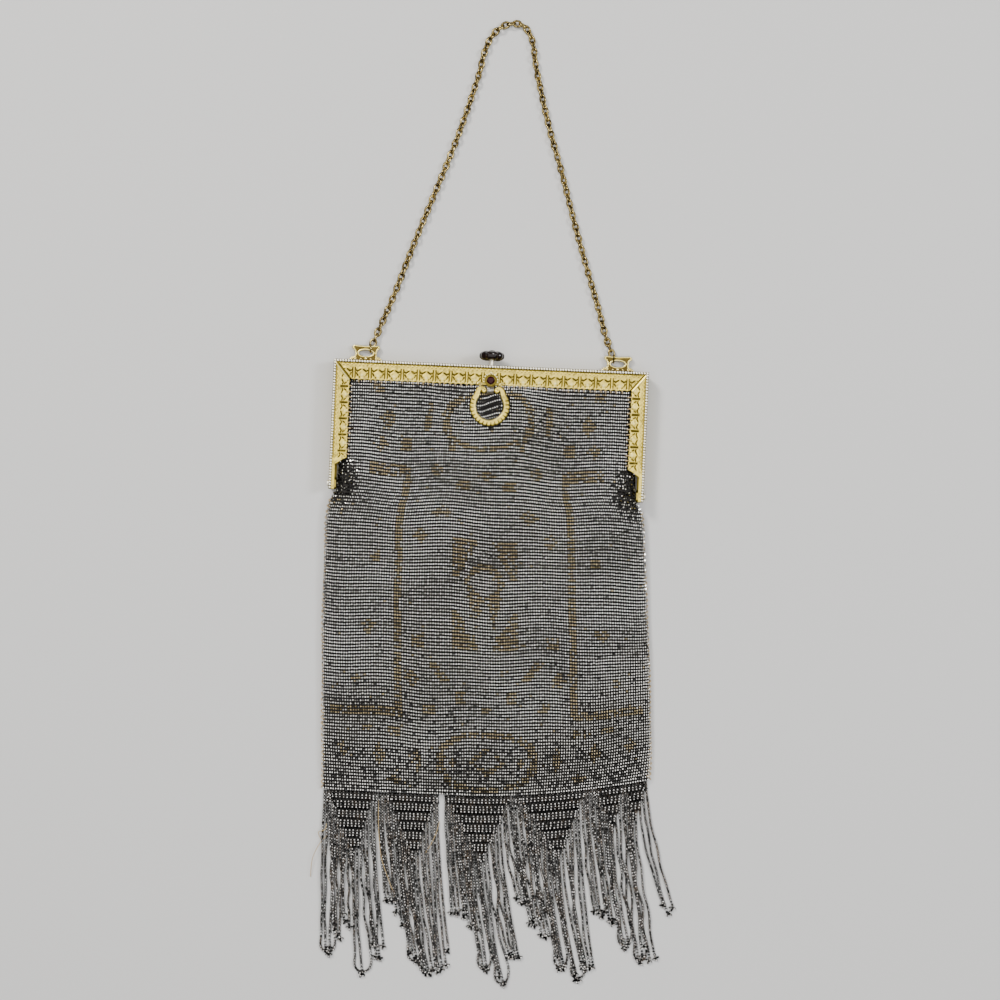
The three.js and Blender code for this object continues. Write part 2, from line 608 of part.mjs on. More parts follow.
// A horseshoe of wire in the plane of the pin, each end soldered to a round eye that the pin goes through
function ringPull() {
  const line = RING_RADIUS - RING_WIRE / 2;
  const gap = Math.atan2(EYE_SPREAD, RING_DROP);
  const points = [];
  for (let i = 0; i <= RING_STEPS; i++) {
    const turn = Math.PI / 2 + gap + (i / RING_STEPS) * 2 * (Math.PI - gap);
    points.push(new THREE.Vector3(line * Math.cos(turn), RING_Y + line * Math.sin(turn), PULL_PIN_Z));
  }
  const path = new THREE.CatmullRomCurve3(points);
  const wire = new THREE.ExtrudeGeometry(circle(RING_WIRE / 2, RING_SIDES), {
    steps: RING_STEPS,
    extrudePath: path,
  });
  const low = PULL_PIN_Z - RING_WIRE / 2;
  const high = PULL_PIN_Z + RING_WIRE / 2;
  const eyes = [-1, 1].map((side) =>
    rodZ(low, high, EYE_RADIUS, EYE_RADIUS, side * EYE_SPREAD, PULL_PIN_Y, 12),
  );
  const reach = EYE_SPREAD + EYE_RADIUS + RING_WIRE;
  const bore = rodX(-reach, reach, PULL_PIN_RADIUS + CLEARANCE, PULL_PIN_Y, PULL_PIN_Z, 12);
  return cut(joined([wire, ...eyes]), [bore]);
}

function ringPin() {
  const reach = EYE_SPREAD + EYE_RADIUS + CLEARANCE;
  return solid(rodX(-reach, reach, PULL_PIN_RADIUS, PULL_PIN_Y, PULL_PIN_Z, 12));
}

// A round cut stone: small culet, pavilion, girdle, crown and table
function garnet() {
  const low = MOUNT_TOP + CLEARANCE;
  const girdle = low + JEWEL_PAVILION;
  const band = girdle + JEWEL_CROWN / 5;
  const profile = [
    [0, low],
    [JEWEL_RADIUS * 0.45, low],
    [JEWEL_RADIUS, girdle],
    [JEWEL_RADIUS, band],
    [JEWEL_TABLE, girdle + JEWEL_CROWN],
    [0, girdle + JEWEL_CROWN],
  ];
  const stone = new THREE.LatheGeometry(profile.map(([r, z]) => new THREE.Vector2(r, z)), JEWEL_FACETS)
    .rotateX(Math.PI / 2)
    .translate(0, JEWEL_Y, 0);
  return solid(stone);
}

// Chain

// An oval link standing on edge through an ear, pulled up against the ear's eye
function endLink(side) {
  const reach = LINK_OFFSET / (EAR_HOLE_WIDTH / 2);
  const eyeTop = EAR_HOLE_CENTRE + (EAR_HOLE_HEIGHT / 2) * Math.sqrt(1 - reach * reach);
  const bottom = TOP + eyeTop - CLEARANCE - LINK_WIRE;
  const [rise, half] = [(LINK_LENGTH - LINK_WIRE) / 2, (LINK_WIDTH - LINK_WIRE) / 2];
  const points = [];
  for (let i = 0; i < LINK_STEPS; i++) {
    const turn = (i / LINK_STEPS) * 2 * Math.PI;
    points.push(new THREE.Vector3(0, rise * Math.cos(turn), half * Math.sin(turn)));
  }
  const path = new THREE.CatmullRomCurve3(points, true);
  const wire = circle(LINK_WIRE / 2, LINK_SIDES);
  return new THREE.ExtrudeGeometry(wire, { steps: LINK_STEPS, extrudePath: path })
    .translate(side * (EAR_OFFSET - LINK_OFFSET), bottom + LINK_LENGTH / 2, LINK_Z);
}

// The end of the link away from its ear, where the chain begins
function linkEnd(side) {
  const box = new THREE.Box3().setFromBufferAttribute(endLink(side).attributes.position);
  return new THREE.Vector3(side * (EAR_OFFSET - LINK_OFFSET), box.max.y + CLEARANCE, LINK_Z);
}

function chainTube() {
  const middle = CHAIN_ROUTE.map(([x, y]) => new THREE.Vector3(x, y, LINK_Z));
  const path = new THREE.CatmullRomCurve3([linkEnd(-1), ...middle, linkEnd(1)]);
  return solid(
    new THREE.ExtrudeGeometry(circle(LINK_WIDTH / 2, CHAIN_SIDES), { steps: CHAIN_STEPS, extrudePath: path }),
  );
}

// Pouch

// A table's rows as millimetres: how far down from the mouth each lies, and its left and right half widths
function sized(rows, from, length, halfWidth) {
  return rows.map((row) => ({
    ...row,
    down: from + row.along * length,
    left: row.left * halfWidth,
    right: row.right * halfWidth,
  }));
}

const SECTIONS = [
  ...sized(MOUTH_SECTIONS, 0, MOUTH_DEPTH, MOUTH_HALF),
  ...sized(BODY_SECTIONS, MOUTH_DEPTH, BAG_LENGTH - MOUTH_DEPTH, BAG_HALF_WIDTH),
];

// The section at a distance down from the mouth, between the two rows round it
function sectionAt(down) {
  const next = Math.max(1, SECTIONS.findIndex((row) => row.down >= down));
  const [a, b] = [SECTIONS[next - 1], SECTIONS[next]];
  const t = (down - a.down) / (b.down - a.down);
  const row = {};
  for (const key of Object.keys(a)) row[key] = a[key] + (b[key] - a[key]) * t;
  return row;
}

// Height that the folds add at a place on the front
function foldHeight(x, y) {
  let sum = 0;
  for (const fold of BAG_FOLDS) {
    const start = new THREE.Vector2(fold.across * BAG_HALF_WIDTH, BAG_TOP - fold.along * BAG_LENGTH);
    const end = new THREE.Vector2(fold.toAcross * BAG_HALF_WIDTH, BAG_TOP - fold.toAlong * BAG_LENGTH);
    const run = end.clone().sub(start);
    const here = new THREE.Vector2(x, y).sub(start);
    const t = THREE.MathUtils.clamp(here.dot(run) / run.lengthSq(), 0, 1);
    const away = here.sub(run.multiplyScalar(t)).length() / (fold.width * BAG_LENGTH);
    sum += fold.height * BAG_THICKNESS * Math.exp(-away * away);
  }
  return sum;
}

// How full the pouch is at a share of its half width: 1 over the middle, 0 at the seam
function fullness(share) {
  return Math.pow(Math.max(0, 1 - Math.pow(Math.abs(share), CROWN_POWER)), CROWN_ROUND);
}

// One ring of the pouch, drawn in by a wall: left seam, across the front, right seam, back underneath
function bagRing(down, wall) {
  const row = sectionAt(down);
  const sideWall = wall ? BAG_SIDE_WALL : 0;
  const left = -row.left + sideWall;
  const right = row.right - sideWall;
  const seam = row.seam * BAG_THICKNESS;
  const top = row.top * BAG_THICKNESS - wall;
  const under = row.under * BAG_THICKNESS + wall;
  const ring = [];
  for (let j = 0; j < 2 * ACROSS_STEPS; j++) {
    const share = -Math.cos((j / ACROSS_STEPS) * Math.PI);
    const x = (left + right) / 2 + (share * (right - left)) / 2;
    const curl = Math.pow(Math.max(0, x) / row.right, HEM_BEND);
    const y = BAG_TOP - down + row.rise * HEM_RISE * curl;
    const full = fullness(share);
    const front = seam + (top - seam) * full + foldHeight(x, y) * full;
    const back = seam - (seam - under) * full;
    ring.push(new THREE.Vector3(x, y, j <= ACROSS_STEPS ? front : back));
  }
  return ring;
}

// Distances from the mouth where rings lie: every row of the tables, with even steps between
function ringPlaces(end) {
  const places = [0];
  for (const row of SECTIONS.slice(1)) {
    const from = places[places.length - 1];
    const to = Math.min(row.down, end);
    const steps = Math.ceil((to - from) / RING_STEP);
    for (let i = 1; i <= steps; i++) places.push(from + ((to - from) * i) / steps);
  }
  return places;
}

function bagBody() {
  const inside = ringPlaces(CAVITY_END * BAG_LENGTH).reverse().map((down) => bagRing(down, BAG_WALL));
  const outside = ringPlaces(BAG_LENGTH).map((down) => bagRing(down, 0));
  return solid(skin([...inside, ...outside]));
}

// Fringe

// A place along the hem, by its share of the hem's width from the left corner
function hemPoint(share) {
  const last = SECTIONS[SECTIONS.length - 1];
  const left = -last.left;
  const right = last.right;
  const x = left + share * (right - left);
  const curl = Math.pow(Math.max(0, x) / right, HEM_BEND);
  return new THREE.Vector2(x, BAG_TOP - BAG_LENGTH + last.rise * HEM_RISE * curl);
}

// How far the nets reach below the hem there
function netDepth(share) {
  const net = NETS.find((row) => share >= row.left && share <= row.right);
  if (!net) return HEAD_WIDTH;
  const rising = (share - net.left) / (net.apex - net.left);
  const falling = (net.right - share) / (net.right - net.apex);
  return HEAD_WIDTH + (net.depth * FRINGE_LENGTH - HEAD_WIDTH) * Math.min(rising, falling);
}

function fringeHead() {
  const shape = new THREE.Shape();
  for (let i = 0; i <= ACROSS_STEPS; i++) {
    const p = hemPoint((1 - Math.cos((i / ACROSS_STEPS) * Math.PI)) / 2);
    if (i) shape.lineTo(p.x, p.y - CLEARANCE);
    else shape.moveTo(p.x, p.y - CLEARANCE);
  }
  const low = [1, ...[...NETS].reverse().flatMap((net) => [net.right, net.apex, net.left]), 0];
  for (const share of low) {
    const p = hemPoint(share);
    shape.lineTo(p.x, p.y - netDepth(share));
  }
  return plate(shape, 0, FRINGE_THICKNESS);
}

// A lock of strands: a flat six-sided strip that follows a bowed line from the nets to its tip
function lock(row) {
  const hem = hemPoint(row.root);
  const start = new THREE.Vector2(hem.x, hem.y - netDepth(row.root) + ROOT_OVERLAP);
  const level = BAG_TOP - BAG_LENGTH;
  const end = new THREE.Vector2(hemPoint(0).x, level - row.drop * FRINGE_LENGTH);
  end.x += row.tip * (hemPoint(1).x - hemPoint(0).x);
  const run = end.clone().sub(start);
  const aside = new THREE.Vector2(-run.y, run.x).normalize();
  const rings = [];
  for (let i = 0; i <= LOCK_STEPS; i++) {
    const t = i / LOCK_STEPS;
    const bow = row.sway * FRINGE_LENGTH * Math.sin(Math.PI * t);
    const middle = start.clone().addScaledVector(run, t).addScaledVector(aside, bow);
    const half = (FRINGE_LENGTH * (row.width + (row.end - row.width) * t)) / 2;
    const shoulder = half * 0.6;
    const corners = [
      [-half, 0.5], [-shoulder, 1], [shoulder, 1], [half, 0.5], [shoulder, 0], [-shoulder, 0],
    ];
    rings.push(
      corners.map(([side, up]) => {
        const p = middle.clone().addScaledVector(aside, side);
        return new THREE.Vector3(p.x, p.y, up * FRINGE_THICKNESS);
      }),
    );
  }
  return skin(rings);
}

function fringe() {
  return joined([fringeHead(), ...LOCKS.map(lock)]);
}

// Finishes
const finish = (color, roughness, metalness) =>
  new THREE.MeshStandardMaterial({ color, roughness, metalness, flatShading: true });
const gilt = () => finish(0xd0ac4c, 0.32, 1);
const antiqueBrass = () => finish(0x8a7038, 0.4, 1);
const darkKnob = () => finish(0x1c1412, 0.25, 0.1);
const redStone = () => finish(0x5a0f12, 0.1, 0);
const steelBeads = () => finish(0x9a9a98, 0.35, 0.9);
const darkBeads = () => finish(0x6e6c66, 0.4, 0.9);

const purse = new THREE.Group();

function add(name, shape, material) {
  const mesh = new THREE.Mesh(geometryOf(shape), material);
  mesh.name = name;
  purse.add(mesh);
}

add("frame_back", frameBack(), gilt());
add("frame_front", frameFront(), gilt());
add("hinge_pin_left", hingePin(-1), gilt());
add("hinge_pin_right", hingePin(1), gilt());
add("knob_stem", knobStem(), gilt());
add("push_knob", pushKnob(), darkKnob());
add("catch_tongue", catchTongue(), gilt());
add("ring_pin", ringPin(), antiqueBrass());
add("ring_pull", ringPull(), gilt());
add("garnet", garnet(), redStone());
add("bag_body", bagBody(), steelBeads());
add("fringe", fringe(), darkBeads());
add("chain_link_left", solid(endLink(-1)), antiqueBrass());
add("chain_link_right", solid(endLink(1)), antiqueBrass());
add("chain", chainTube(), antiqueBrass());

export default purse;
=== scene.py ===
"""A beaded evening purse lying on its back: bead knitting, netted fringe, stamped gilt frame and chain.

The code works in millimetres, and a mesh becomes metres where it is made. +X runs along the frame's bar, +Y
towards the chain and +Z up from the floor. The origin is on the rear face at the middle of the bar.
"""

import bpy
import numpy as np
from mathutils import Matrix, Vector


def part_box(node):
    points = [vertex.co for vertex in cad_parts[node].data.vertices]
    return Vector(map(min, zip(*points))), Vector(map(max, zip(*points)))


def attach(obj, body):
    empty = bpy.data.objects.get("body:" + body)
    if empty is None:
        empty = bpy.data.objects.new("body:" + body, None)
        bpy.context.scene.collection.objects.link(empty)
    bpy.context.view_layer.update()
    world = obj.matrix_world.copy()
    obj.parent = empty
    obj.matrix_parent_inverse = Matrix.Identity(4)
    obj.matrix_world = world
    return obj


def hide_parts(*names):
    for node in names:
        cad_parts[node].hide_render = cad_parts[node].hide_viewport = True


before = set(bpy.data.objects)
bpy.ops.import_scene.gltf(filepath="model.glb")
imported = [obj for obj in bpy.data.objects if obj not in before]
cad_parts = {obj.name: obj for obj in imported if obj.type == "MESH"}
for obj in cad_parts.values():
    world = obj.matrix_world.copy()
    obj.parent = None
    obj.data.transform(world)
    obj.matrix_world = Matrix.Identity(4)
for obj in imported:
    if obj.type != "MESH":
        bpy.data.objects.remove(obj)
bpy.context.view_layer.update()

MM = 0.001
TAU = 2 * np.pi
SEED = 1925

# Frame
FRAME_WIDTH = 138.0
FRAME_DROP = 57.0
BAR_WIDTH = 8.4
ARM_WIDTH = 7.0
TIP_WIDTH = 2.4
TIP_LENGTH = 11.0
TIP_SHOULDER = 3.0
BACK_HEIGHT = 5.0
FRONT_HEIGHT = 4.6
SHEET = 0.8
RIM_WALL = 0.9
GAP = 0.3
TOP = BAR_WIDTH / 2
HALF = FRAME_WIDTH / 2
ARM_END = TOP - FRAME_DROP
BAR_INNER = TOP - BAR_WIDTH
FRONT_BASE = BACK_HEIGHT + GAP
FRONT_TOP = FRONT_BASE + FRONT_HEIGHT

# Stamped ornament: distances in from the frame's outer edge
PEARL_ROW = 1.1
GROOVE_END = 1.65
BAND_END = 2.6
PANEL_PITCH = 7.06
RELIEF = 0.4
SCALLOP_PITCH = PANEL_PITCH / 3
SCALLOP_DEPTH = 0.55
ARM_STATIONS = 170
BAR_STATIONS = 500

# Hinges
LUG_RADIUS = 2.6
LUG_WIDTH = 1.4
HINGE_Y = ARM_END + 2.5
HINGE_Z = BACK_HEIGHT + GAP / 2
BORE_RADIUS = 1.0

# Clasp
MOUNT_WIDTH = 13.0
MOUNT_TOP = FRONT_TOP + 1.1
JEWEL_Y = TOP - 6.8
JEWEL_RADIUS = 1.85
BEZEL_INNER = JEWEL_RADIUS + GAP
BEZEL_OUTER = BEZEL_INNER + 0.4
BEZEL_HEIGHT = 1.0
PIN_Y = BAR_INNER - 2.5
PIN_Z = FRONT_TOP + 1.4
KNUCKLE_RADIUS = 1.6
KNUCKLE_WIDTH = 3.1
RING_Y = PIN_Y - 7.1
KNOB_RADIUS = 5.5
KNOB_THICKNESS = 4.0
KNOB_LOBES = 10
KNOB_FOOT = TOP + 2.25
STEM_Z = 7.8

# Ears and chain
EAR_OFFSET = HALF - 13.2
EAR_BASE = 14.6
EAR_HEIGHT = 7.0
EAR_TOP_Z = 2.2
EAR_HOLE = (6.4, 2.9)
EAR_HOLE_Y = 3.65
LINK_WIDTH = 3.5
LINK_WIRE = 1.0
LINK_PITCH = 2.67
LINK_Z = LINK_WIDTH / 2
# The chain's way from the left ear round to the right ear
CHAIN_ROUTE = [
    (-51.1, 17.1), (-44.4, 34.5), (-36.8, 56.9), (-29.5, 77.2), (-21.4, 99.5), (-15.6, 117.9),
    (-11, 134.3), (-9.5, 142.1), (-6.9, 149.3), (-2.8, 154.3), (2.3, 156.4), (7.6, 155.7),
    (11.2, 150.6), (12.7, 144.9), (14.2, 136.4), (20.4, 112.8), (27.1, 92.1), (33.3, 71.4),
    (39.3, 52.5), (45.9, 32.8), (49.4, 21.4),
]

# Pouch
BAG_HALF_WIDTH = 68.0
BAG_LENGTH = 182.6
BAG_THICKNESS = FRONT_TOP - 0.5
BAG_TOP = BAR_INNER + 1.2
MOUTH_DEPTH = BAG_TOP - ARM_END
MOUTH_HALF = HALF - 2 * LUG_WIDTH - GAP - 0.7
BAG_WALL = 1.45
HEM_RISE = 10.0
HEM_BEND = 1.6
CROWN_POWER = 5
CROWN_ROUND = 0.455
# Cross sections between the arms, then below them: along, left, right, top, seam, under and rise, in shares
MOUTH_SECTIONS = [
    (0, 1, 1, 0.925, 0.53, 0.125, 0),
    (0.059, 1, 1, 0.935, 0.53, 0.125, 0),
    (0.139, 1, 1, 0.95, 0.52, 0, 0),
    (0.513, 0.998, 0.998, 1, 0.48, 0, 0),
    (1.005, 0.998, 0.998, 0.98, 0.4, 0, 0),
]
BODY_SECTIONS = [
    (0.026, 1.004, 1.01, 0.97, 0.34, 0, 0),
    (0.106, 1.026, 1.032, 0.96, 0.25, 0, 0),
    (0.367, 1.02, 1.07, 0.94, 0.2, 0, 0.08),
    (0.491, 1.016, 1.094, 0.92, 0.19, 0, 0.2),
    (0.697, 0.998, 1.115, 0.85, 0.18, 0, 0.5),
    (0.849, 0.986, 1.135, 0.7, 0.17, 0, 0.78),
    (0.952, 0.98, 1.137, 0.48, 0.16, 0, 0.95),
    (1, 0.976, 1.134, 0.3, 0.15, 0, 1),
]
# Soft folds: across, along, to across, to along, width and height, in shares
BAG_FOLDS = [
    (-0.12, 0.15, -0.62, 0.24, 0.035, -0.07),
    (0.16, 0.16, 0.6, 0.22, 0.035, -0.06),
    (-0.93, 0.27, -0.7, 0.24, 0.025, 0.06),
    (0.93, 0.28, 0.72, 0.25, 0.025, 0.06),
    (1.1, 0.6, 0.8, 0.66, 0.02, -0.08),
    (-1, 0.81, -0.45, 0.83, 0.03, -0.06),
    (1.08, 0.86, 0.5, 1, 0.035, 0.07),
]

# Beads
ROWS = 129
COLUMNS = 132
BACK_ROWS = 114
BACK_COLUMNS = 108
CLOTH_ROWS = 104
CLOTH_COLUMNS = 69
BEAD_LENGTH = 0.9
BEAD_RADIUS = 0.53
BEAD_LIFT = 0.42
BEAD_SHOULDER = 0.21
# Share of a bead's tone kept on its flanks, underside and ends: painted shade.
FLANK_SHADE_SHARE = 0.1
TILT_LIMIT = 0.12
BACK_BEADS_UNDER = 0.85

# Fringe
FRINGE_LENGTH = 83.4
STRANDS = 112
STRAND_PITCH = 1.26
TIER = 4.2
NET_PITCH = 1.66
NET_BEAD = 1.16
NET_OPENING = 0.366
THREAD_RADIUS = 0.5
LOOPED_LOCKS = [0, 3, 7, 8, 13, 14, 19, 20, 24, 25]
# Net points: left, apex, right and depth, in shares
NETS = [
    (0.005, 0.105, 0.16, 0.37),
    (0.192, 0.287, 0.356, 0.38),
    (0.375, 0.495, 0.585, 0.385),
    (0.59, 0.735, 0.812, 0.38),
    (0.83, 0.9, 0.925, 0.265),
    (0.925, 0.962, 0.998, 0.25),
]
# Locks of strands: root, tip, drop and breadth at the tip, in shares
LOCKS = [
    (0.025, 0.034, 0.875, 0.045), (0.055, 0.065, 0.8, 0.034), (0.085, 0.098, 0.72, 0.038),
    (0.112, 0.145, 0.97, 0.052), (0.145, 0.19, 0.925, 0.034), (0.18, 0.222, 0.61, 0.032),
    (0.208, 0.26, 0.7, 0.038), (0.238, 0.302, 0.9, 0.04), (0.287, 0.345, 0.96, 0.05),
    (0.33, 0.385, 0.95, 0.034), (0.36, 0.408, 0.83, 0.03), (0.392, 0.43, 0.645, 0.038),
    (0.425, 0.475, 0.74, 0.038), (0.46, 0.52, 0.93, 0.04), (0.5, 0.575, 1, 0.043),
    (0.54, 0.61, 0.87, 0.03), (0.572, 0.63, 0.575, 0.038), (0.61, 0.675, 0.68, 0.04),
    (0.65, 0.71, 0.74, 0.038), (0.69, 0.755, 0.9, 0.04), (0.735, 0.81, 0.955, 0.044),
    (0.78, 0.84, 0.93, 0.034), (0.81, 0.868, 0.63, 0.034), (0.85, 0.905, 0.66, 0.04),
    (0.89, 0.95, 0.77, 0.042), (0.93, 1, 0.85, 0.038), (0.962, 1.03, 0.83, 0.034),
    (0.988, 1.078, 0.58, 0.034),
]

random = np.random.default_rng(SEED)


# Meshes from arrays

def unit(vectors):
    """Vectors divided by their own length."""
    return vectors / np.maximum(np.linalg.norm(vectors, axis=-1, keepdims=True), 1e-12)


def grid_faces(rows, columns, wrap_rows=False, wrap_columns=False):
    """Quads between neighbouring points of a grid stored row by row. Either way may close on itself."""
    row = np.arange(rows if wrap_rows else rows - 1)
    column = np.arange(columns if wrap_columns else columns - 1)
    row, column = (each.ravel() for each in np.meshgrid(row, column, indexing="ij"))
    below, beside = (row + 1) % rows, (column + 1) % columns
    start, end = row * columns, below * columns
    return np.stack([start + column, end + column, end + beside, start + beside], -1)


def fan(ring, pole):
    """Triangles from a pole to a closed ring of point numbers."""
    ring = np.asarray(ring)
    return np.stack([ring, np.roll(ring, -1), np.full(len(ring), pole)], -1)


def volume(places, faces):
    """Signed volume: the sum over a fan of triangles in each face of a . (b x c) / 6."""
    total = 0.0
    for group in faces:
        for k in range(1, group.shape[1] - 1):
            a, b, c = places[group[:, 0]], places[group[:, k]], places[group[:, k + 1]]
            total += np.einsum("ij,ij->", a, np.cross(b, c)) / 6
    return total


def outward(places, faces):
    """A closed shape with its faces turned to point out, told by the sign of its volume."""
    middle = places - places.mean(0)
    if volume(middle, faces) < 0:
        faces = [group[:, ::-1] for group in faces]
    return places, faces


def capped(rings, poles):
    """Closed rings, each a row of a grid, with a pole joined to the first and another to the last."""
    rows, sides = rings.shape[:2]
    places = rings.reshape(-1, 3)
    first, count = np.arange(sides), rows * sides
    last = first + count - sides
    faces = [grid_faces(rows, sides, False, True), fan(first, count), fan(last[::-1], count + 1)]
    return outward(np.concatenate([places, poles]), faces)


def joined(shapes):
    """Several shapes as one."""
    starts = np.cumsum([0] + [len(places) for places, _ in shapes[:-1]])
    places = np.concatenate([places for places, _ in shapes])
    faces = [group + start for start, (_, groups) in zip(starts, shapes) for group in groups]
    return places, faces


def copies(shape, origins, axes, sizes=None):
    """Copy n of a shape puts local point p at origin_n + p.x * axis_n0 + p.y * axis_n1 + p.z * axis_n2, where
    p is first multiplied by size n."""
    places, faces = shape
    local = np.broadcast_to(places, (len(origins),) + places.shape)
    if sizes is not None:
        local = local * sizes[:, None, :]
    world = origins[:, None, :] + np.einsum("nvk,nkj->nvj", local, axes)
    step = (np.arange(len(origins)) * len(places))[:, None, None]
    made = [(group[None] + step).reshape(-1, group.shape[1]) for group in faces]
    return world.reshape(-1, 3), made


def tube(path, section, closed=False, up=(0, 0, 1)):
    """A section carried along a path: point (i, j) is path_i + a_j * side_i + b_j * up_i, where side is the
    path's direction crossed with up. The section may differ from station to station. Open ends are closed by
    a pole."""
    path = np.asarray(path, float)
    if closed:
        along = np.roll(path, -1, 0) - np.roll(path, 1, 0)
    else:
        along = np.gradient(path, axis=0)
    along = unit(along)
    side = unit(np.cross(along, np.asarray(up, float)))
    top = np.cross(side, along)
    section = np.broadcast_to(section, (len(path),) + np.shape(section)[-2:])
    rings = path[:, None] + section[..., :1] * side[:, None] + section[..., 1:] * top[:, None]
    if closed:
        return outward(rings.reshape(-1, 3), [grid_faces(*rings.shape[:2], True, True)])
    return capped(rings, [path[0], path[-1]])


def smooth_line(points, per_span=24):
    """A Catmull-Rom line through points: on each span a cubic whose ends aim along their neighbours."""
    points = np.asarray(points, float)
    ends = np.concatenate([[2 * points[0] - points[1]], points, [2 * points[-1] - points[-2]]])
    t = np.linspace(0, 1, per_span, endpoint=False)[:, None]
    spans = []
    for a, b, c, d in zip(ends[:-3], ends[1:-2], ends[2:-1], ends[3:]):
        square, cube = a - 2.5 * b + 2 * c - d / 2, 1.5 * (b - c) + (d - a) / 2
        spans.append(b + (c - a) * t / 2 + square * t**2 + cube * t**3)
    return np.concatenate(spans + [points[-1:]])


def circle(sides, radius=1.0, flat=0.5):
    """Points of a circle as side and height. flat turns them, in steps: half a step gives a flat top."""
    turn = (np.arange(sides) + flat) * TAU / sides
    return np.stack([np.sin(turn), np.cos(turn)], -1) * radius


def lathe(profile, sides, squeeze=None):
    """A profile of radius and height turned about Z: point (i, j) is (r_i * cos t_j, r_i * sin t_j, h_i). Its
    first and last points lie on the axis. squeeze multiplies the radius at each point."""
    profile = np.asarray(profile, float)
    turn = np.arange(sides) * TAU / sides
    radius = profile[1:-1, :1] * (1 if squeeze is None else squeeze)
    radius = np.broadcast_to(radius, (len(profile) - 2, sides))
    height = np.broadcast_to(profile[1:-1, 1:], radius.shape)
    rings = np.stack([radius * np.cos(turn), radius * np.sin(turn), height], -1)
    return capped(rings, [(0, 0, profile[0, 1]), (0, 0, profile[-1, 1])])


def barrel(sides, facet=1.0):
    """A bead along X, one long and with radius one: a ring of corners at each shoulder and a pole at each
    end, with a flat facet on top whose breadth is multiplied by facet."""
    corner = circle(sides)
    corner[:, 0] *= np.where(corner[:, 1] > 0.5, facet, 1)
    rings = np.stack([np.column_stack([np.full(sides, x), corner]) for x in (-BEAD_SHOULDER, BEAD_SHOULDER)])
    return capped(rings, [(-0.5, 0, 0), (0.5, 0, 0)])


def worn(bead, tones):
    """Tones for every face of every copy of a bead: the copy's own tone on the facet that faces out, and a
    small share of it on the flanks, the underside and the ends, as painted shade that keeps them dark."""
    places, faces = bead
    made = []
    for group in faces:
        a, b, c = places[group[:, 0]], places[group[:, 1]], places[group[:, 2]]
        facing = unit(np.cross(b - a, c - a))[:, 2]
        # Painted shade: faces turned away from the bead's top keep only a small share of its tone.
        share = FLANK_SHADE_SHARE + (1 - FLANK_SHADE_SHARE) * np.clip((facing - 0.6) / 0.4, 0, 1)
        made.append((np.asarray(tones)[:, None] * share[None, :]).ravel())
    return np.concatenate(made)


def ball(sides, rings):
    """A sphere of radius one: latitude rings between two poles."""
    fall = np.linspace(0, np.pi, rings + 2)
    return lathe(np.column_stack([np.sin(fall), np.cos(fall)]), sides)


def block(low, high):
    """A box between two corners."""
    low, high = np.asarray(low, float), np.asarray(high, float)
    share = np.array([(x, y, z) for x in (0, 1) for y in (0, 1) for z in (0, 1)], float)
    faces = np.array([(0, 1, 3, 2), (4, 6, 7, 5), (0, 4, 5, 1), (2, 3, 7, 6), (0, 2, 6, 4), (1, 5, 7, 3)])
    return outward(low + share * (high - low), [faces])


def moved(shape, turn, origin):
    """A shape turned by a matrix whose rows are its new axes, and moved."""
    places, faces = shape
    return places @ np.asarray(turn, float) + np.asarray(origin, float), faces


def piece(name, shape, finish, body="purse", smooth=True, replaces=(), values=None):
    """A Blender object from a shape in millimetres, with its material, and riding on its body."""
    places, faces = shape
    mesh = bpy.data.meshes.new(name)
    loops = np.concatenate([group.ravel() for group in faces]).astype(np.int32)
    counts = np.concatenate([np.full(len(group), group.shape[1]) for group in faces])
    starts = np.concatenate([[0], np.cumsum(counts)[:-1]]).astype(np.int32)
    mesh.vertices.add(len(places))
    mesh.vertices.foreach_set("co", (places * MM).astype(np.float32).ravel())
    mesh.loops.add(len(loops))
    mesh.loops.foreach_set("vertex_index", loops)
    mesh.polygons.add(len(counts))
    mesh.polygons.foreach_set("loop_start", starts)
    mesh.polygons.foreach_set("use_smooth", np.full(len(counts), smooth))
    mesh.update(calc_edges=True)
    for key, numbers in (values or {}).items():
        layer = mesh.attributes.new(key, "FLOAT", "FACE" if len(numbers) == len(counts) else "POINT")
        layer.data.foreach_set("value", np.asarray(numbers, np.float32))
    mesh.validate()
    mesh.materials.append(finish.material)
    made = bpy.data.objects.new(name, mesh)
    bpy.context.scene.collection.objects.link(made)
    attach(made, body)
    if replaces:
        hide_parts(*replaces)
    return made


# Materials

class Link:
    """One output of a node. The operators add Math nodes that work on it."""

    def __init__(self, finish, socket):
        self.finish = finish
        self.socket = socket

    def math(self, operation, *values):
        return self.finish.node("ShaderNodeMath", {"operation": operation}, dict(enumerate(values)))

    def __add__(self, other):
        return self.math("ADD", self, other)

    def __sub__(self, other):
        return self.math("SUBTRACT", self, other)

    def __rsub__(self, other):
        return self.math("SUBTRACT", other, self)

    def __mul__(self, other):
        return self.math("MULTIPLY", self, other)

    def __pow__(self, other):
        return self.math("POWER", self, other)

    __radd__ = __add__
    __rmul__ = __mul__


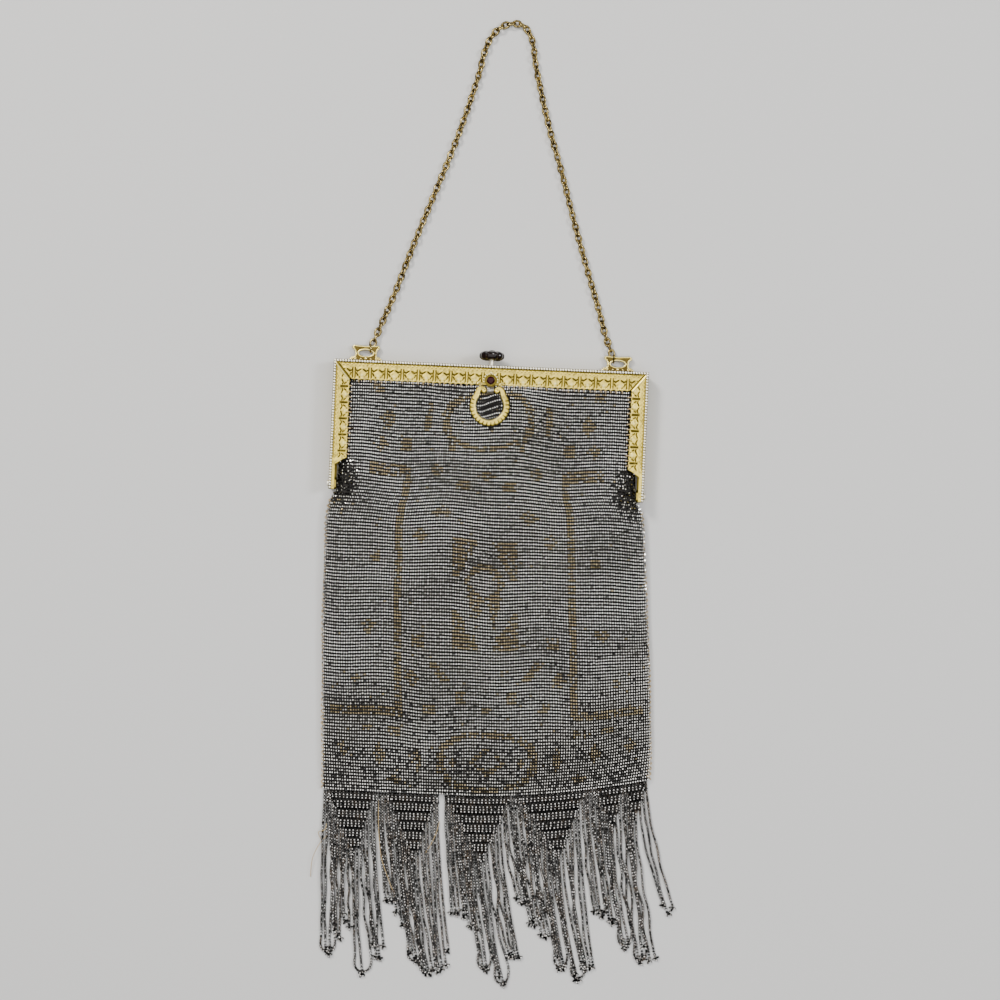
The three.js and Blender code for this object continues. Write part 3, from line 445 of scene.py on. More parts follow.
class Finish:
    """A material: one Principled shader, with its uniform values, and the nodes that feed it."""

    def __init__(self, name, **uniform):
        self.material = bpy.data.materials.new(name)
        self.material.use_nodes = True
        self.tree = self.material.node_tree
        self.shader = self.tree.nodes["Principled BSDF"]
        for key, value in uniform.items():
            self.shader.inputs[key.replace("_", " ")].default_value = value

    def feed(self, target, value):
        if isinstance(value, Link):
            self.tree.links.new(value.socket, target)
        else:
            target.default_value = value

    def node(self, kind, settings=None, sockets=None, output=0):
        made = self.tree.nodes.new(kind)
        for key, value in (settings or {}).items():
            if key == "stops":
                for stop in value[2:]:
                    made.color_ramp.elements.new(stop[0])
                for element, (place, color) in zip(made.color_ramp.elements, value):
                    element.position = place
                    element.color = color
            else:
                setattr(made, key, value)
        for key, value in (sockets or {}).items():
            self.feed(made.inputs[key], value)
        return Link(self, made.outputs[output])

    def set(self, **values):
        for key, value in values.items():
            self.feed(self.shader.inputs[key.replace("_", " ")], value)
        return self

    def mix(self, share, first, second):
        return self.node("ShaderNodeMix", {"data_type": "RGBA"}, {0: share, 6: first, 7: second}, 2)

    def attribute(self, name):
        return self.node("ShaderNodeAttribute", {"attribute_name": name}, {}, "Fac")

    def place(self):
        return self.node("ShaderNodeTexCoord", {}, {}, "Object")

    def noise(self, scale, detail=3.0, roughness=0.55):
        sockets = {"Vector": self.place(), "Scale": scale, "Detail": detail, "Roughness": roughness}
        return self.node("ShaderNodeTexNoise", {}, sockets, 0)

    def step(self, value, low, high):
        sockets = {"Value": value, "From Min": low, "From Max": high}
        return self.node("ShaderNodeMapRange", {"interpolation_type": "SMOOTHSTEP"}, sockets, 0)

    def bump(self, height, strength, distance):
        return self.node("ShaderNodeBump", {}, {"Height": height, "Strength": strength, "Distance": distance})


def color(red, green, blue):
    return (red, green, blue, 1.0)


PALE_GOLD = color(1.0, 0.88, 0.42)
GOLD = color(0.84, 0.65, 0.13)
OLIVE_GOLD = color(0.32, 0.24, 0.04)
# Darkest gilt colour: grime in the stamped hollows, and painted shade on the ring handle.
GRIME_AND_SHADE = color(0.07, 0.05, 0.008)


def gilt_stamped():
    """Gilt brass of the stamped face: grime in the hollows, olive on the ground, pale where it is rubbed. On
    the ring handle the same colours are painted light: pale on its top and inner side, dark on its outer
    lower side.
    """
    finish = Finish("gilt_stamped", Metallic=1.0)
    relief = finish.attribute("relief")
    patch = finish.noise(160.0)
    grain = finish.noise(1800.0, 2.0)
    ground = finish.mix(finish.step(relief + (patch - 0.5) * 0.2, 0.02, 0.24), GRIME_AND_SHADE, OLIVE_GOLD)
    body = finish.mix(finish.step(relief + (patch - 0.5) * 0.25, 0.2, 0.5), ground, GOLD)
    speck = finish.noise(620.0, 3.0)
    mottled = finish.mix(finish.step(speck, 0.5, 0.68) * 0.75, body, OLIVE_GOLD)
    rubbed = finish.mix(finish.step(relief + (grain - 0.5) * 0.2, 0.7, 1.05), mottled, PALE_GOLD)
    rough = 0.52 - finish.step(relief, 0.2, 0.8) * 0.22 + (grain - 0.5) * 0.12
    return finish.set(Base_Color=rubbed, Roughness=rough, Normal=finish.bump(grain, 0.15, 0.00004))


def gilt_plain():
    """Gilt brass away from the stamping: gold with dull olive patches and fine rubbing, and a dark ground on
    the ears, above the bar."""
    finish = Finish("gilt_plain", Metallic=1.0)
    patch = finish.noise(220.0)
    grain = finish.noise(2400.0, 2.0)
    dull = finish.mix(finish.step(patch, 0.25, 0.6), color(0.6, 0.46, 0.12), OLIVE_GOLD)
    rubbed = finish.mix(finish.step(grain, 0.6, 0.8) * 0.25, dull, PALE_GOLD)
    height = finish.node("ShaderNodeSeparateXYZ", {}, {0: finish.place()}, 1)
    on_ears = finish.step(height, (TOP + 0.1) * MM, (TOP + 0.5) * MM)
    recess = finish.mix(patch, color(0.17, 0.12, 0.03), color(0.06, 0.04, 0.01))
    bright = finish.mix(on_ears, rubbed, recess)
    rough = 0.3 + finish.step(patch, 0.4, 0.75) * 0.2 + (grain - 0.5) * 0.1
    return finish.set(Base_Color=bright, Roughness=rough, Normal=finish.bump(grain, 0.12, 0.00004))


def pearl_gilt():
    """Gilt brass that touch keeps bright: pale, with a little tarnish in patches."""
    finish = Finish("pearl_gilt", Metallic=1.0)
    patch = finish.noise(300.0)
    grain = finish.noise(2400.0, 2.0)
    base = finish.mix(finish.step(patch, 0.45, 0.8), color(1.0, 0.95, 0.8), color(0.9, 0.76, 0.4))
    return finish.set(Base_Color=base, Roughness=0.3 + grain * 0.15, Normal=finish.bump(grain, 0.1, 0.00003))


def dark_brass():
    """Chain wire: dark brown patina with brass showing where the links rub."""
    finish = Finish("dark_brass", Metallic=1.0)
    patch = finish.noise(700.0)
    grain = finish.noise(3500.0, 2.0)
    base = finish.mix(finish.step(patch, 0.38, 0.62), color(0.08, 0.055, 0.02), color(0.5, 0.38, 0.14))
    worn = finish.mix(finish.step(grain, 0.6, 0.78) * 0.5, base, color(0.8, 0.66, 0.34))
    rough = 0.14 + patch * 0.16
    return finish.set(Base_Color=worn, Roughness=rough, Normal=finish.bump(grain, 0.2, 0.00004))


def bead_finish(name, dark, pale, tinge, rough):
    """Cut beads: each face has a tone of its own, with painted shade on the flanks, and the bright faces a
    tinge that drifts over the cloth.
    """
    finish = Finish(name, Metallic=1.0)
    tone = finish.attribute("tone")
    drift = finish.attribute("tinge")
    grain = finish.noise(5200.0, 1.0)
    base = finish.mix(finish.step(tone, 0.0, 1.0), dark, pale)
    # The tinge follows the tone, so the painted shade on the flanks stays dark.
    tinged = finish.mix(drift * finish.step(tone, 0.06, 0.4), base, tinge)
    worn = rough - tone * 0.1 + (grain - 0.5) * 0.12
    return finish.set(Base_Color=tinged, Roughness=worn, Normal=finish.bump(grain, 0.1, 0.00003))


def knit_finish():
    """The knitted silk under the beads: thread in rows, with a little lint, near black as painted shade
    between the beads.
    """
    finish = Finish("knitted_silk", Metallic=0.0, Sheen_Weight=0.15)
    rows = finish.node(
        "ShaderNodeTexWave",
        {"bands_direction": "Y", "wave_profile": "SIN"},
        {"Vector": finish.place(), "Scale": 110.0, "Distortion": 1.5, "Detail": 1.0},
        1,
    )
    lint = finish.noise(900.0)
    # Near-black thread colour: painted shade in the gaps between the beads.
    thread = finish.mix(lint, color(0.006, 0.005, 0.005), color(0.028, 0.023, 0.018))
    shade = finish.mix(rows * 0.5, thread, color(0.01, 0.009, 0.008))
    height = rows + lint * 0.4
    return finish.set(Base_Color=shade, Roughness=0.85 + lint * 0.1, Normal=finish.bump(height, 0.5, 0.0002))


def thread_finish(name, dark, pale):
    """Silk thread: flecked, and soiled in patches."""
    finish = Finish(name, Metallic=0.0, Sheen_Weight=0.3)
    fleck = finish.noise(2600.0, 2.0)
    patch = finish.noise(240.0)
    base = finish.mix(fleck, dark, pale)
    soiled = finish.mix(finish.step(patch, 0.5, 0.8) * 0.6, base, color(0.16, 0.1, 0.05))
    return finish.set(Base_Color=soiled, Roughness=0.7 + fleck * 0.2, Normal=finish.bump(fleck, 0.6, 0.00008))


def knob_finish():
    """Black-brown polished knob: slightly mottled, with wear that dulls the polish in places."""
    finish = Finish("dark_knob", Metallic=0.0, Specular_IOR_Level=0.3)
    mottle = finish.noise(420.0)
    scuff = finish.noise(2600.0, 3.0)
    base = finish.mix(finish.step(mottle, 0.4, 0.75), color(0.003, 0.002, 0.002), color(0.014, 0.004, 0.003))
    rough = 0.1 + finish.step(scuff, 0.55, 0.8) * 0.3
    return finish.set(Base_Color=base, Roughness=rough, Normal=finish.bump(scuff, 0.05, 0.00003))


def stone_finish():
    """Dark red faceted stone, clearer in its heart."""
    finish = Finish("red_stone", Metallic=0.0, IOR=1.6, Specular_IOR_Level=0.15)
    cloud = finish.noise(500.0)
    base = finish.mix(cloud, color(0.008, 0.0004, 0.001), color(0.05, 0.002, 0.005))
    return finish.set(Base_Color=base, Roughness=0.04 + cloud * 0.06)


def worn_plate():
    """The knuckle, where gilding has worn down to pale metal."""
    finish = Finish("worn_plate", Metallic=1.0)
    patch = finish.noise(900.0)
    base = finish.mix(finish.step(patch, 0.35, 0.65), color(0.35, 0.31, 0.25), color(0.82, 0.8, 0.74))
    return finish.set(Base_Color=base, Roughness=0.25 + patch * 0.2, Normal=finish.bump(patch, 0.3, 0.00005))


def floor_finish():
    finish = Finish("pale_floor", Roughness=0.85)
    finish.shader.inputs["Base Color"].default_value = color(0.74, 0.73, 0.71)
    return finish


GILT_STAMPED = gilt_stamped()
GILT_PLAIN = gilt_plain()
PEARL_GILT = pearl_gilt()
DARK_BRASS = dark_brass()
STEEL = bead_finish(
    "steel_beads", color(0.03, 0.028, 0.025), color(1.0, 0.97, 0.92), color(0.42, 0.4, 0.27), 0.24)
BRONZE = bead_finish(
    "bronze_beads", color(0.05, 0.033, 0.012), color(0.7, 0.56, 0.34), color(0.32, 0.27, 0.09), 0.28)
# The fringe's brown tinge is a painted reflection of a red-brown surround.
FRINGE = bead_finish(
    "fringe_beads", color(0.008, 0.008, 0.008), color(0.8, 0.78, 0.75), color(0.3, 0.2, 0.12), 0.2)
KNIT = knit_finish()
THREAD = thread_finish("silk_thread", color(0.4, 0.25, 0.08), color(0.76, 0.56, 0.28))
# Near-black thread of the fringe; between the net bars it also serves as painted shade.
DARK_THREAD = thread_finish("netting_thread", color(0.006, 0.005, 0.004), color(0.024, 0.018, 0.014))
KNOB = knob_finish()
STONE = stone_finish()
WORN = worn_plate()


# Pouch

def section_rows():
    """The sections of both tables in millimetres: down, left, right, top, seam, under, rise."""
    mouth = np.array(MOUTH_SECTIONS, float)
    body = np.array(BODY_SECTIONS, float)
    mouth[:, 0] *= MOUTH_DEPTH
    mouth[:, 1:3] *= MOUTH_HALF
    body[:, 0] = MOUTH_DEPTH + body[:, 0] * (BAG_LENGTH - MOUTH_DEPTH)
    body[:, 1:3] *= BAG_HALF_WIDTH
    rows = np.concatenate([mouth, body])
    rows[:, 3:6] *= BAG_THICKNESS
    rows[:, 6] *= HEM_RISE
    return rows


SECTIONS = section_rows()
SOFTEN = np.linspace(-3, 3, 7)


def section_value(down, column):
    """A column of the sections at distances down from the mouth: the mean of straight interpolation over a
    few millimetres either way, which rounds the corners between rows."""
    samples = [np.interp(down + shift, SECTIONS[:, 0], SECTIONS[:, column]) for shift in SOFTEN]
    return np.mean(samples, 0)


def fold_height(x, y):
    """Sum over the folds of height * exp(-(distance to the fold's line / width) squared)."""
    total = np.zeros(np.broadcast(x, y).shape)
    for across, along, to_across, to_along, width, height in BAG_FOLDS:
        x0, y0 = across * BAG_HALF_WIDTH, BAG_TOP - along * BAG_LENGTH
        run_x, run_y = to_across * BAG_HALF_WIDTH - x0, BAG_TOP - to_along * BAG_LENGTH - y0
        share = np.clip(((x - x0) * run_x + (y - y0) * run_y) / (run_x**2 + run_y**2), 0, 1)
        away = np.hypot(x - x0 - share * run_x, y - y0 - share * run_y) / (width * BAG_LENGTH)
        total += height * BAG_THICKNESS * np.exp(-(away**2))
    return total


def ripple_height(x, down):
    """Fine waves of the limp cloth: upright gathers that die out under the bar, slow waves across the body,
    and a pucker at each arm's end."""
    gathers = 0.32 * np.exp(-((down / 26) ** 2)) * np.sin(x / 1.9 + 2.2 * np.sin(x / 13))
    slow = 0.3 * np.sin(down / 5.1 + 1.7 * np.sin(x / 19) + x / 41) * np.sin(x / 27 + 0.8)
    cross = 0.2 * np.sin(x / 6.3 + 1.4 * np.sin(down / 17)) * np.sin(down / 31 + 0.5)
    bunch = 0.9 * pucker(x, down) * np.sin(x / 0.9 + down / 1.3)
    return gathers + slow + cross + bunch - 1.3 * ring_hollow(x, down)


def pucker(x, down):
    """1 at the end of each arm, where the cloth is bunched, fading over a few millimetres."""
    away = np.hypot((np.abs(x) - 63) / 4.5, (down - MOUTH_DEPTH + 4) / 8)
    return np.exp(-(away**2))


def ring_hollow(x, down):
    """1 under the middle of the ring, where the cloth is pressed in, fading over its radius."""
    away = np.hypot(x - 0.3, down - (BAG_TOP - RING_Y)) / 6.6
    return np.exp(-(away**4))


def pouch_point(across, down, side):
    """A point of the pouch, by its share across from seam to seam and its distance down from the mouth. Its
    height is seam + (top - seam) * full in front and seam - (seam - under) * full behind, where full is
    (1 - |across|^5)^0.455, and folds and ripples are added in front."""
    left, right = section_value(down, 1), section_value(down, 2)
    top, seam, under = (section_value(down, k) for k in (3, 4, 5))
    x = (right - left) / 2 + across * (right + left) / 2
    curl = (np.maximum(x, 0) / right) ** HEM_BEND
    y = BAG_TOP - down + section_value(down, 6) * curl
    full = np.maximum(1 - np.abs(across) ** CROWN_POWER, 0) ** CROWN_ROUND
    if side < 0:
        return np.stack(np.broadcast_arrays(x, y, seam - (seam - under) * full), -1)
    settle = np.clip((BAG_LENGTH - down) / 25, 0, 1) * np.clip(down / 6, 0, 1)
    z = seam + (top - seam) * full + (fold_height(x, y) + ripple_height(x, down) * settle) * full
    sway = 0.55 * np.sin(x / 11 + down / 23) + 0.35 * np.sin(x / 5.7 - down / 37)
    sway = sway + 0.28 * x * ring_hollow(x, down) + 0.5 * np.exp(-down / 12) * np.sin(x / 8)
    drift = 0.3 * np.sin(down / 13 + x / 29)
    steady = settle * full
    return np.stack(np.broadcast_arrays(x + drift * steady, y + sway * steady, z), -1)


def even_columns(down, side, count):
    """Shares across that divide each row of the cloth evenly by its own length."""
    fine = -np.cos(np.linspace(0, np.pi, 241))
    points = pouch_point(fine[None, :], down[:, None], side)
    steps = np.linalg.norm(np.diff(points, axis=1), axis=2)
    run = np.concatenate([np.zeros((len(down), 1)), np.cumsum(steps, 1)], 1)
    want = (np.arange(count) + 0.5) / count
    return np.array([np.interp(want * length[-1], length, fine) for length in run])


def bead_places(rows, columns, side):
    """Centres and axes of the beads on one side: x along the row, z out of the cloth. The loose beads tilt
    less than a steep part of the cloth does, so their slopes are limited by a hyperbolic tangent."""
    down = (np.arange(rows) + 0.5) * BAG_LENGTH / rows
    across = even_columns(down, side, columns)
    points = pouch_point(across, down[:, None], side)
    along_row = unit(np.gradient(points, axis=1))
    along_column = unit(np.gradient(points, axis=0))
    out = unit(np.cross(along_row, -along_column)) * side
    places = points + out * BEAD_LIFT
    for way in (along_row, along_column):
        way[..., 2] = TILT_LIMIT * np.tanh(way[..., 2] / TILT_LIMIT)
    along_row = unit(along_row)
    return places, along_row, unit(np.cross(along_row, -along_column)) * side


def turned(axis, out, roll, yaw):
    """Bead axes after a roll about the bead and a small turn in the cloth."""
    aside = np.cross(out, axis)
    axis2 = axis * np.cos(yaw)[:, None] + aside * np.sin(yaw)[:, None]
    aside = np.cross(out, axis2)
    out2 = out * np.cos(roll)[:, None] + aside * np.sin(roll)[:, None]
    return np.stack([axis2, np.cross(out2, axis2), out2], 1)


# Motifs of the knitted pattern, in beads: aside from the middle column, row, half width, half height, form.
# They are knitted on both sides of the middle.
MOTIFS = [
    (48.6, 3.3, 2.5, 1.5, "block"), (43.4, 11.7, 3, 3, "diamond"), (26.6, 10.8, 1.5, 4.5, "block"),
    (46.4, 19.8, 3, 2, "diamond"), (35.5, 19.5, 2.5, 2, "block"), (21.6, 27.6, 3, 2, "diamond"),
    (0, 28.8, 3.5, 1.5, "diamond"), (10.2, 32.2, 3, 1.5, "block"), (17.5, 41, 3.5, 2, "diamond"),
    (25.7, 48.1, 3, 2.5, "diamond"), (0, 61.5, 7, 5.5, "oval"), (46, 76.7, 3, 2.5, "diamond"),
    (26.2, 80.8, 2.5, 2, "block"), (7.2, 79, 3, 1.5, "block"), (29.3, 92, 2.5, 2.5, "diamond"),
    (10.2, 97.6, 2, 2, "block"), (22.4, 101.3, 2.5, 1.5, "block"), (0, 101.6, 2, 1.5, "diamond"),
    (56.4, 115, 2, 2, "diamond"), (42.5, 116.2, 2.5, 3, "diamond"), (47.7, 108.5, 2.5, 1.5, "block"),
    (36.7, 109.1, 2.5, 1.5, "block"), (27.8, 117.2, 2, 4, "diamond"), (36.8, 124.3, 3, 1.5, "diamond"),
    (0, 117.8, 7, 4.5, "lozenge"), (13.5, 117.8, 1.5, 1.5, "diamond"),
    (51, 93, 2, 2, "diamond"), (44, 55, 2, 2, "block"), (15.5, 20, 2, 1.5, "block"),
]
BAND_ASIDE = 34.5
BAND_TOP = 27.5
BAND_BOTTOM = 103
BAND_REACH = 51
BAND_FOOT_REACH = 62
OVAL_ROWS = (11.7, 117.8)


def pattern_mask(column, row):
    """Which beads are bronze, by their column from the middle and their row: bands that turn outward at both
    ends, two oval cartouches, four corner triangles round the middle, slanted leaves, and small motifs."""
    aside = np.abs(column)
    mask = (np.abs(aside - BAND_ASIDE) < 2) & (row > BAND_TOP - 1.5) & (row < BAND_BOTTOM + 1.5)
    mask |= (np.abs(row - BAND_TOP) < 1.6) & (aside > BAND_ASIDE) & (aside < BAND_REACH)
    mask |= (np.abs(row - BAND_BOTTOM) < 1.6) & (aside > BAND_ASIDE) & (aside < BAND_FOOT_REACH)
    for middle in OVAL_ROWS:
        round_it = np.abs(column / 18.8) ** 2.6 + np.abs((row - middle) / 8.8) ** 2.6
        mask |= (round_it < 1.18) & (round_it > 0.72)
    for start, end, way in ((48, 61, 1), (70.5, 82.5, -1)):
        share = (row - start) / (end - start) if way > 0 else (end - row) / (end - start)
        mask |= (share > 0) & (share < 1) & (aside > 2 + 9 * share) & (aside < 13.5) & (aside > 2.5)
    wedge = (row - 65) / 11
    mask |= (wedge > 0) & (wedge < 1) & (np.abs(aside - 3.6) < 3.2 * (1 - wedge))
    leaf = aside - (15.3 + (92.6 - row) * 1.05)
    mask |= (np.abs(leaf) < 1.8) & (row > 86.5) & (row < 93)
    for centre, middle, half_width, half_height, form in MOTIFS:
        across, up = (aside - centre) / half_width, (row - middle) / half_height
        if form == "block":
            mask |= (np.abs(across) < 1) & (np.abs(up) < 1)
        elif form == "diamond":
            mask |= np.abs(across) + np.abs(up) < 1.15
        elif form == "lozenge":
            mask |= np.abs(np.abs(across) + np.abs(up) - 0.9) < 0.2
        else:
            mask |= (np.hypot(across, up) < 1.1) & (np.hypot(across, up) > 0.72)
    return mask


def front_beads():
    """Front beads on an even grid of the cloth. Bronze ones follow the pattern, with a few knitted amiss."""
    origins, axis, out = bead_places(ROWS, COLUMNS, 1)
    row, column = np.meshgrid(np.arange(ROWS), np.arange(COLUMNS) - (COLUMNS - 1) / 2, indexing="ij")
    bronze = pattern_mask(column, row)
    bronze ^= random.random(bronze.shape) < np.where(bronze, 0.2, 0.008)
    x, down = origins[..., 0], (row + 0.5) * BAG_LENGTH / ROWS
    bunched = pucker(x, down)
    spread = 0.1 + 0.9 * bunched
    roll = random.normal(0, 1, bronze.shape) * spread
    yaw = random.normal(0, 0.04, bronze.shape) + random.normal(0, 1, bronze.shape) * bunched * 0.8
    shake = random.normal(0, 0.03, origins.shape) + random.normal(0, 0.35, origins.shape) * bunched[..., None]
    patches = 0.08 * np.sin(x / 9 + 2 * np.sin(down / 14)) + 0.08 * np.sin(down / 7.5 + x / 30)
    tone = 0.74 + patches + random.normal(0, 0.05, (ROWS, 1)) + random.normal(0, 0.13, bronze.shape)
    tone = np.clip(tone - 0.4 * bunched, 0, 1)
    # Painted shadow in the hollow under the ring: odd rows there are darkened almost to black, the others
    # less.
    ring_shadow = ring_hollow(x, down) * np.where(row % 2 == 1, 0.97, 0.3)
    tone = tone * (1 - ring_shadow)
    # Painted highlight: the last two rows at the hem are brightened.
    tone = np.where(row > ROWS - 3, np.minimum(tone + 0.3, 1), tone)
    drift = 0.5 + 0.5 * np.sin(x / 17 + 1.3 * np.sin(down / 21)) * np.sin(down / 26)
    tinge = np.clip(drift * 0.35 * random.random(bronze.shape) + 0.5 * bunched, 0, 1)
    size = 1 + random.normal(0, 0.05, bronze.shape)
    axes = turned(axis.reshape(-1, 3), out.reshape(-1, 3), roll.ravel(), yaw.ravel())
    sizes = np.stack([BEAD_LENGTH * size, BEAD_RADIUS * size, BEAD_RADIUS * size], -1).reshape(-1, 3)
    origins = (origins + shake).reshape(-1, 3)
    upper = np.broadcast_to(row < ROWS / 2, bronze.shape).ravel()
    bronze = bronze.ravel()
    bead = barrel(6)
    parts = (
        ("beads_steel_upper", ~bronze & upper, STEEL, "steel_beads"),
        ("beads_steel_lower", ~bronze & ~upper, STEEL, "steel_beads"),
        ("beads_pattern", bronze, BRONZE, "bronze_beads"),
    )
    for name, chosen, finish, slot in parts:
        values = {
            "tone": worn(bead, tone.ravel()[chosen]),
            "tinge": np.repeat(tinge.ravel()[chosen], len(bead[0])),
        }
        shape = copies(bead, origins[chosen], axes[chosen], sizes[chosen])
        piece(name, shape, finish, smooth=False, values=values)


def back_beads():
    """Back beads: shorter-sided ones in plain rows."""
    origins, axis, out = bead_places(BACK_ROWS, BACK_COLUMNS, -1)
    count = BACK_ROWS * BACK_COLUMNS
    roll = random.normal(0, 0.15, count)
    yaw = random.normal(0, 0.05, count)
    origins = origins.reshape(-1, 3)
    axes = turned(axis.reshape(-1, 3), out.reshape(-1, 3), roll, yaw)
    sizes = np.tile([1.26, 0.62, 0.6], (count, 1))
    bead = barrel(3)
    values = {
        "tone": worn(bead, np.clip(random.normal(0.6, 0.14, count), 0, 1)),
        "tinge": np.repeat(random.random(count) * 0.2, len(bead[0])),
    }
    origins[:, 2] = np.maximum(origins[:, 2], 0.62)
    piece("beads_back", copies(bead, origins, axes, sizes), STEEL, smooth=False, values=values)


def pouch_cloth():
    """The knitted pouch: an outer and an inner skin of the same form, joined round the mouth and closed at
    the hem. Each ring runs over the front and back underneath."""
    share = -np.cos(np.linspace(0, np.pi, CLOTH_COLUMNS))
    outer_down = np.concatenate([[0, 1.5], np.linspace(4, BAG_LENGTH - 1, CLOTH_ROWS), [BAG_LENGTH]])
    inner_down = np.linspace(BAG_LENGTH * 0.955, 0, 40)

    def rings(down, shrink):
        front = pouch_point(share[None, :], down[:, None], 1)
        back = pouch_point(share[None, -2:0:-1], down[:, None], -1)
        ring = np.concatenate([front, back], 1)
        centre = ring.mean(1, keepdims=True)
        scale = np.array([1 - shrink / BAG_HALF_WIDTH, 1, 1 - 2 * shrink / BAG_THICKNESS])
        ring = centre + (ring - centre) * scale
        ring[..., 2] = np.maximum(ring[..., 2], BACK_BEADS_UNDER + (shrink > 1) * 0.4)
        return ring

    ring = np.concatenate([rings(inner_down, BAG_WALL), rings(outer_down, 0.1)])
    shape = capped(ring, [ring[0].mean(0), ring[-1].mean(0)])
    piece("pouch_cloth", shape, KNIT, replaces=["bag_body"])


# Fringe

def hem_point(share):
    """A place along the hem: x is even from corner to corner, and y rises to the right as the sections do."""
    left, right = SECTIONS[-1, 1], SECTIONS[-1, 2]
    x = -left + share * (right + left)
    return x, BAG_TOP - BAG_LENGTH + HEM_RISE * (np.maximum(x, 0) / right) ** HEM_BEND


def net_depth(share):
    """How far the nets reach below the hem: the lesser of the two straight slopes to each point."""
    depth = np.full(np.shape(share), 0.0)
    for left, apex, right, deep in NETS:
        slope = np.minimum((share - left) / (apex - left), (right - share) / (right - apex))
        inside = (share >= left) & (share <= right)
        depth = np.where(inside, deep * FRINGE_LENGTH * np.clip(slope, 0, 1), depth)
    return depth


def net_beads():
    """Nets of upright threes in tiers, each tier shifted by half a column, as bricks are laid, with a slanted
    bead at each side of every foot that ties it to the next tier. Gives places, directions and whether a bead
    is a tie."""
    hem_width = SECTIONS[-1, 1] + SECTIONS[-1, 2]
    columns = int(hem_width / NET_PITCH)
    tiers = int(0.39 * FRINGE_LENGTH / TIER) + 1
    tier, column, rank = np.meshgrid(np.arange(tiers), np.arange(columns), np.arange(5), indexing="ij")
    share = (column + 0.5 + 0.5 * (tier % 2)) * NET_PITCH / hem_width
    keep = ((tier + 0.8) * TIER < net_depth(share)) | ((tier == 0) & (net_depth(share) > 0.4))
    x, y = hem_point(share)
    tie = rank > 2
    aside = np.where(tie, (rank - 3.5) * 2, 0)
    y = y - 0.4 - tier * TIER - np.where(tie, 3 * NET_BEAD + 0.35, (rank + 0.5) * NET_BEAD)
    z = 0.8 + 0.25 * (tier % 2) - 0.2 * tie
    places = np.stack(np.broadcast_arrays(x + aside * NET_PITCH * 0.27, y, z), -1)
    ways = np.stack(np.broadcast_arrays(0.75 * aside, -1.0, 0.0), -1)
    return places[keep], unit(ways[keep]), tie[keep]


def net_cords():
    """Dark cords behind the nets, one behind each bar and one between bars, from the hem to near the net's
    edge: netting thread, whose near-black colour between the bars is also painted shade."""
    hem_width = SECTIONS[-1, 1] + SECTIONS[-1, 2]
    share = np.arange(1, int(2 * hem_width / NET_PITCH)) * NET_PITCH / (2 * hem_width)
    depth = net_depth(share)
    x, y = hem_point(share)
    cords = []
    for k in np.flatnonzero(depth > TIER):
        down = np.linspace(0.2, depth[k] - 0.3 * TIER, 6)
        line = np.stack([np.full(6, x[k]), y[k] - down, np.full(6, 0.44)], -1)
        cords.append(tube(line, circle(4, 0.42)))
    return cords


def strand_ends():
    """Root and tip of each strand. A strand belongs to the lock whose root is nearest, and hangs from its net
    or from the hem. In a looped lock the outer two strands end side by side, a little higher."""
    locks = np.array(LOCKS)
    root = (np.arange(STRANDS) + 0.5) / STRANDS
    root = root[np.abs(root - NET_OPENING) > 0.009]
    mine = np.abs(root[:, None] - locks[None, :, 0]).argmin(1)
    order = np.array([(mine[:k] == m).sum() for k, m in enumerate(mine)])
    total = np.array([(mine == m).sum() for m in mine])
    place = np.where(total > 1, order / np.maximum(total - 1, 1) - 0.5, 0)
    tip = locks[mine, 1] + place * locks[mine, 3] * 0.95
    drop = locks[mine, 2] * (1 - 0.2 * np.abs(place) * random.random(len(root)))
    drop -= 0.04 * random.random(len(root)) * (np.abs(place) > 0.1)
    looped = np.isin(mine, LOOPED_LOCKS) & ((order == 0) | (order == total - 1)) & (total > 1)
    drop = np.where(looped, locks[mine, 2] - 0.09, drop)
    x0, hem_y = hem_point(root)
    y0 = hem_y - np.maximum(net_depth(root) - 0.9 * TIER, 0) - 0.6
    left, right = SECTIONS[-1, 1], SECTIONS[-1, 2]
    x1 = -left + tip * (right + left)
    y1 = BAG_TOP - BAG_LENGTH - drop * FRINGE_LENGTH
    return np.stack([x0, y0], -1), np.stack([x1, y1], -1), looped, mine


def strand_lines(start, end, count=60):
    """Lines of the strands: y runs evenly from root to tip and x follows as the power 1.5, so that a strand
    hangs straight first. Two sine waves grow towards the tip, and each strand rises over its neighbours by a
    height of its own."""
    share = np.linspace(0, 1, count)[None, :]
    strands = len(start)
    phase = random.random((strands, 2)) * TAU
    wide = random.normal(0, 0.62, (strands, 1))
    fine = random.normal(0, 0.34, (strands, 1))
    wave = wide * np.sin(np.pi * share * 1.4 + phase[:, :1]) + fine * np.sin(TAU * share * 3 + phase[:, 1:])
    wave = wave * np.sin(np.pi * share) * (0.4 + share)
    x = start[:, :1] + (end - start)[:, :1] * share**1.5 + wave
    y = start[:, 1:] + (end - start)[:, 1:] * share
    z = 0.66 + 0.85 * random.random((strands, 1)) * np.sin(np.pi * share)
    return np.stack([x, y, z], -1)


def beads_on(lines, pitch):
    """Places and directions at even distances along each line."""
    places, ways = [], []
    for line in lines:
        run = np.concatenate([[0], np.cumsum(np.linalg.norm(np.diff(line, axis=0), axis=1))])
        at = np.arange(pitch / 2, run[-1], pitch)
        spot = np.stack([np.interp(at, run, line[:, k]) for k in range(3)], -1)
        places.append(spot)
        ways.append(unit(np.gradient(spot, axis=0)))
    return places, ways


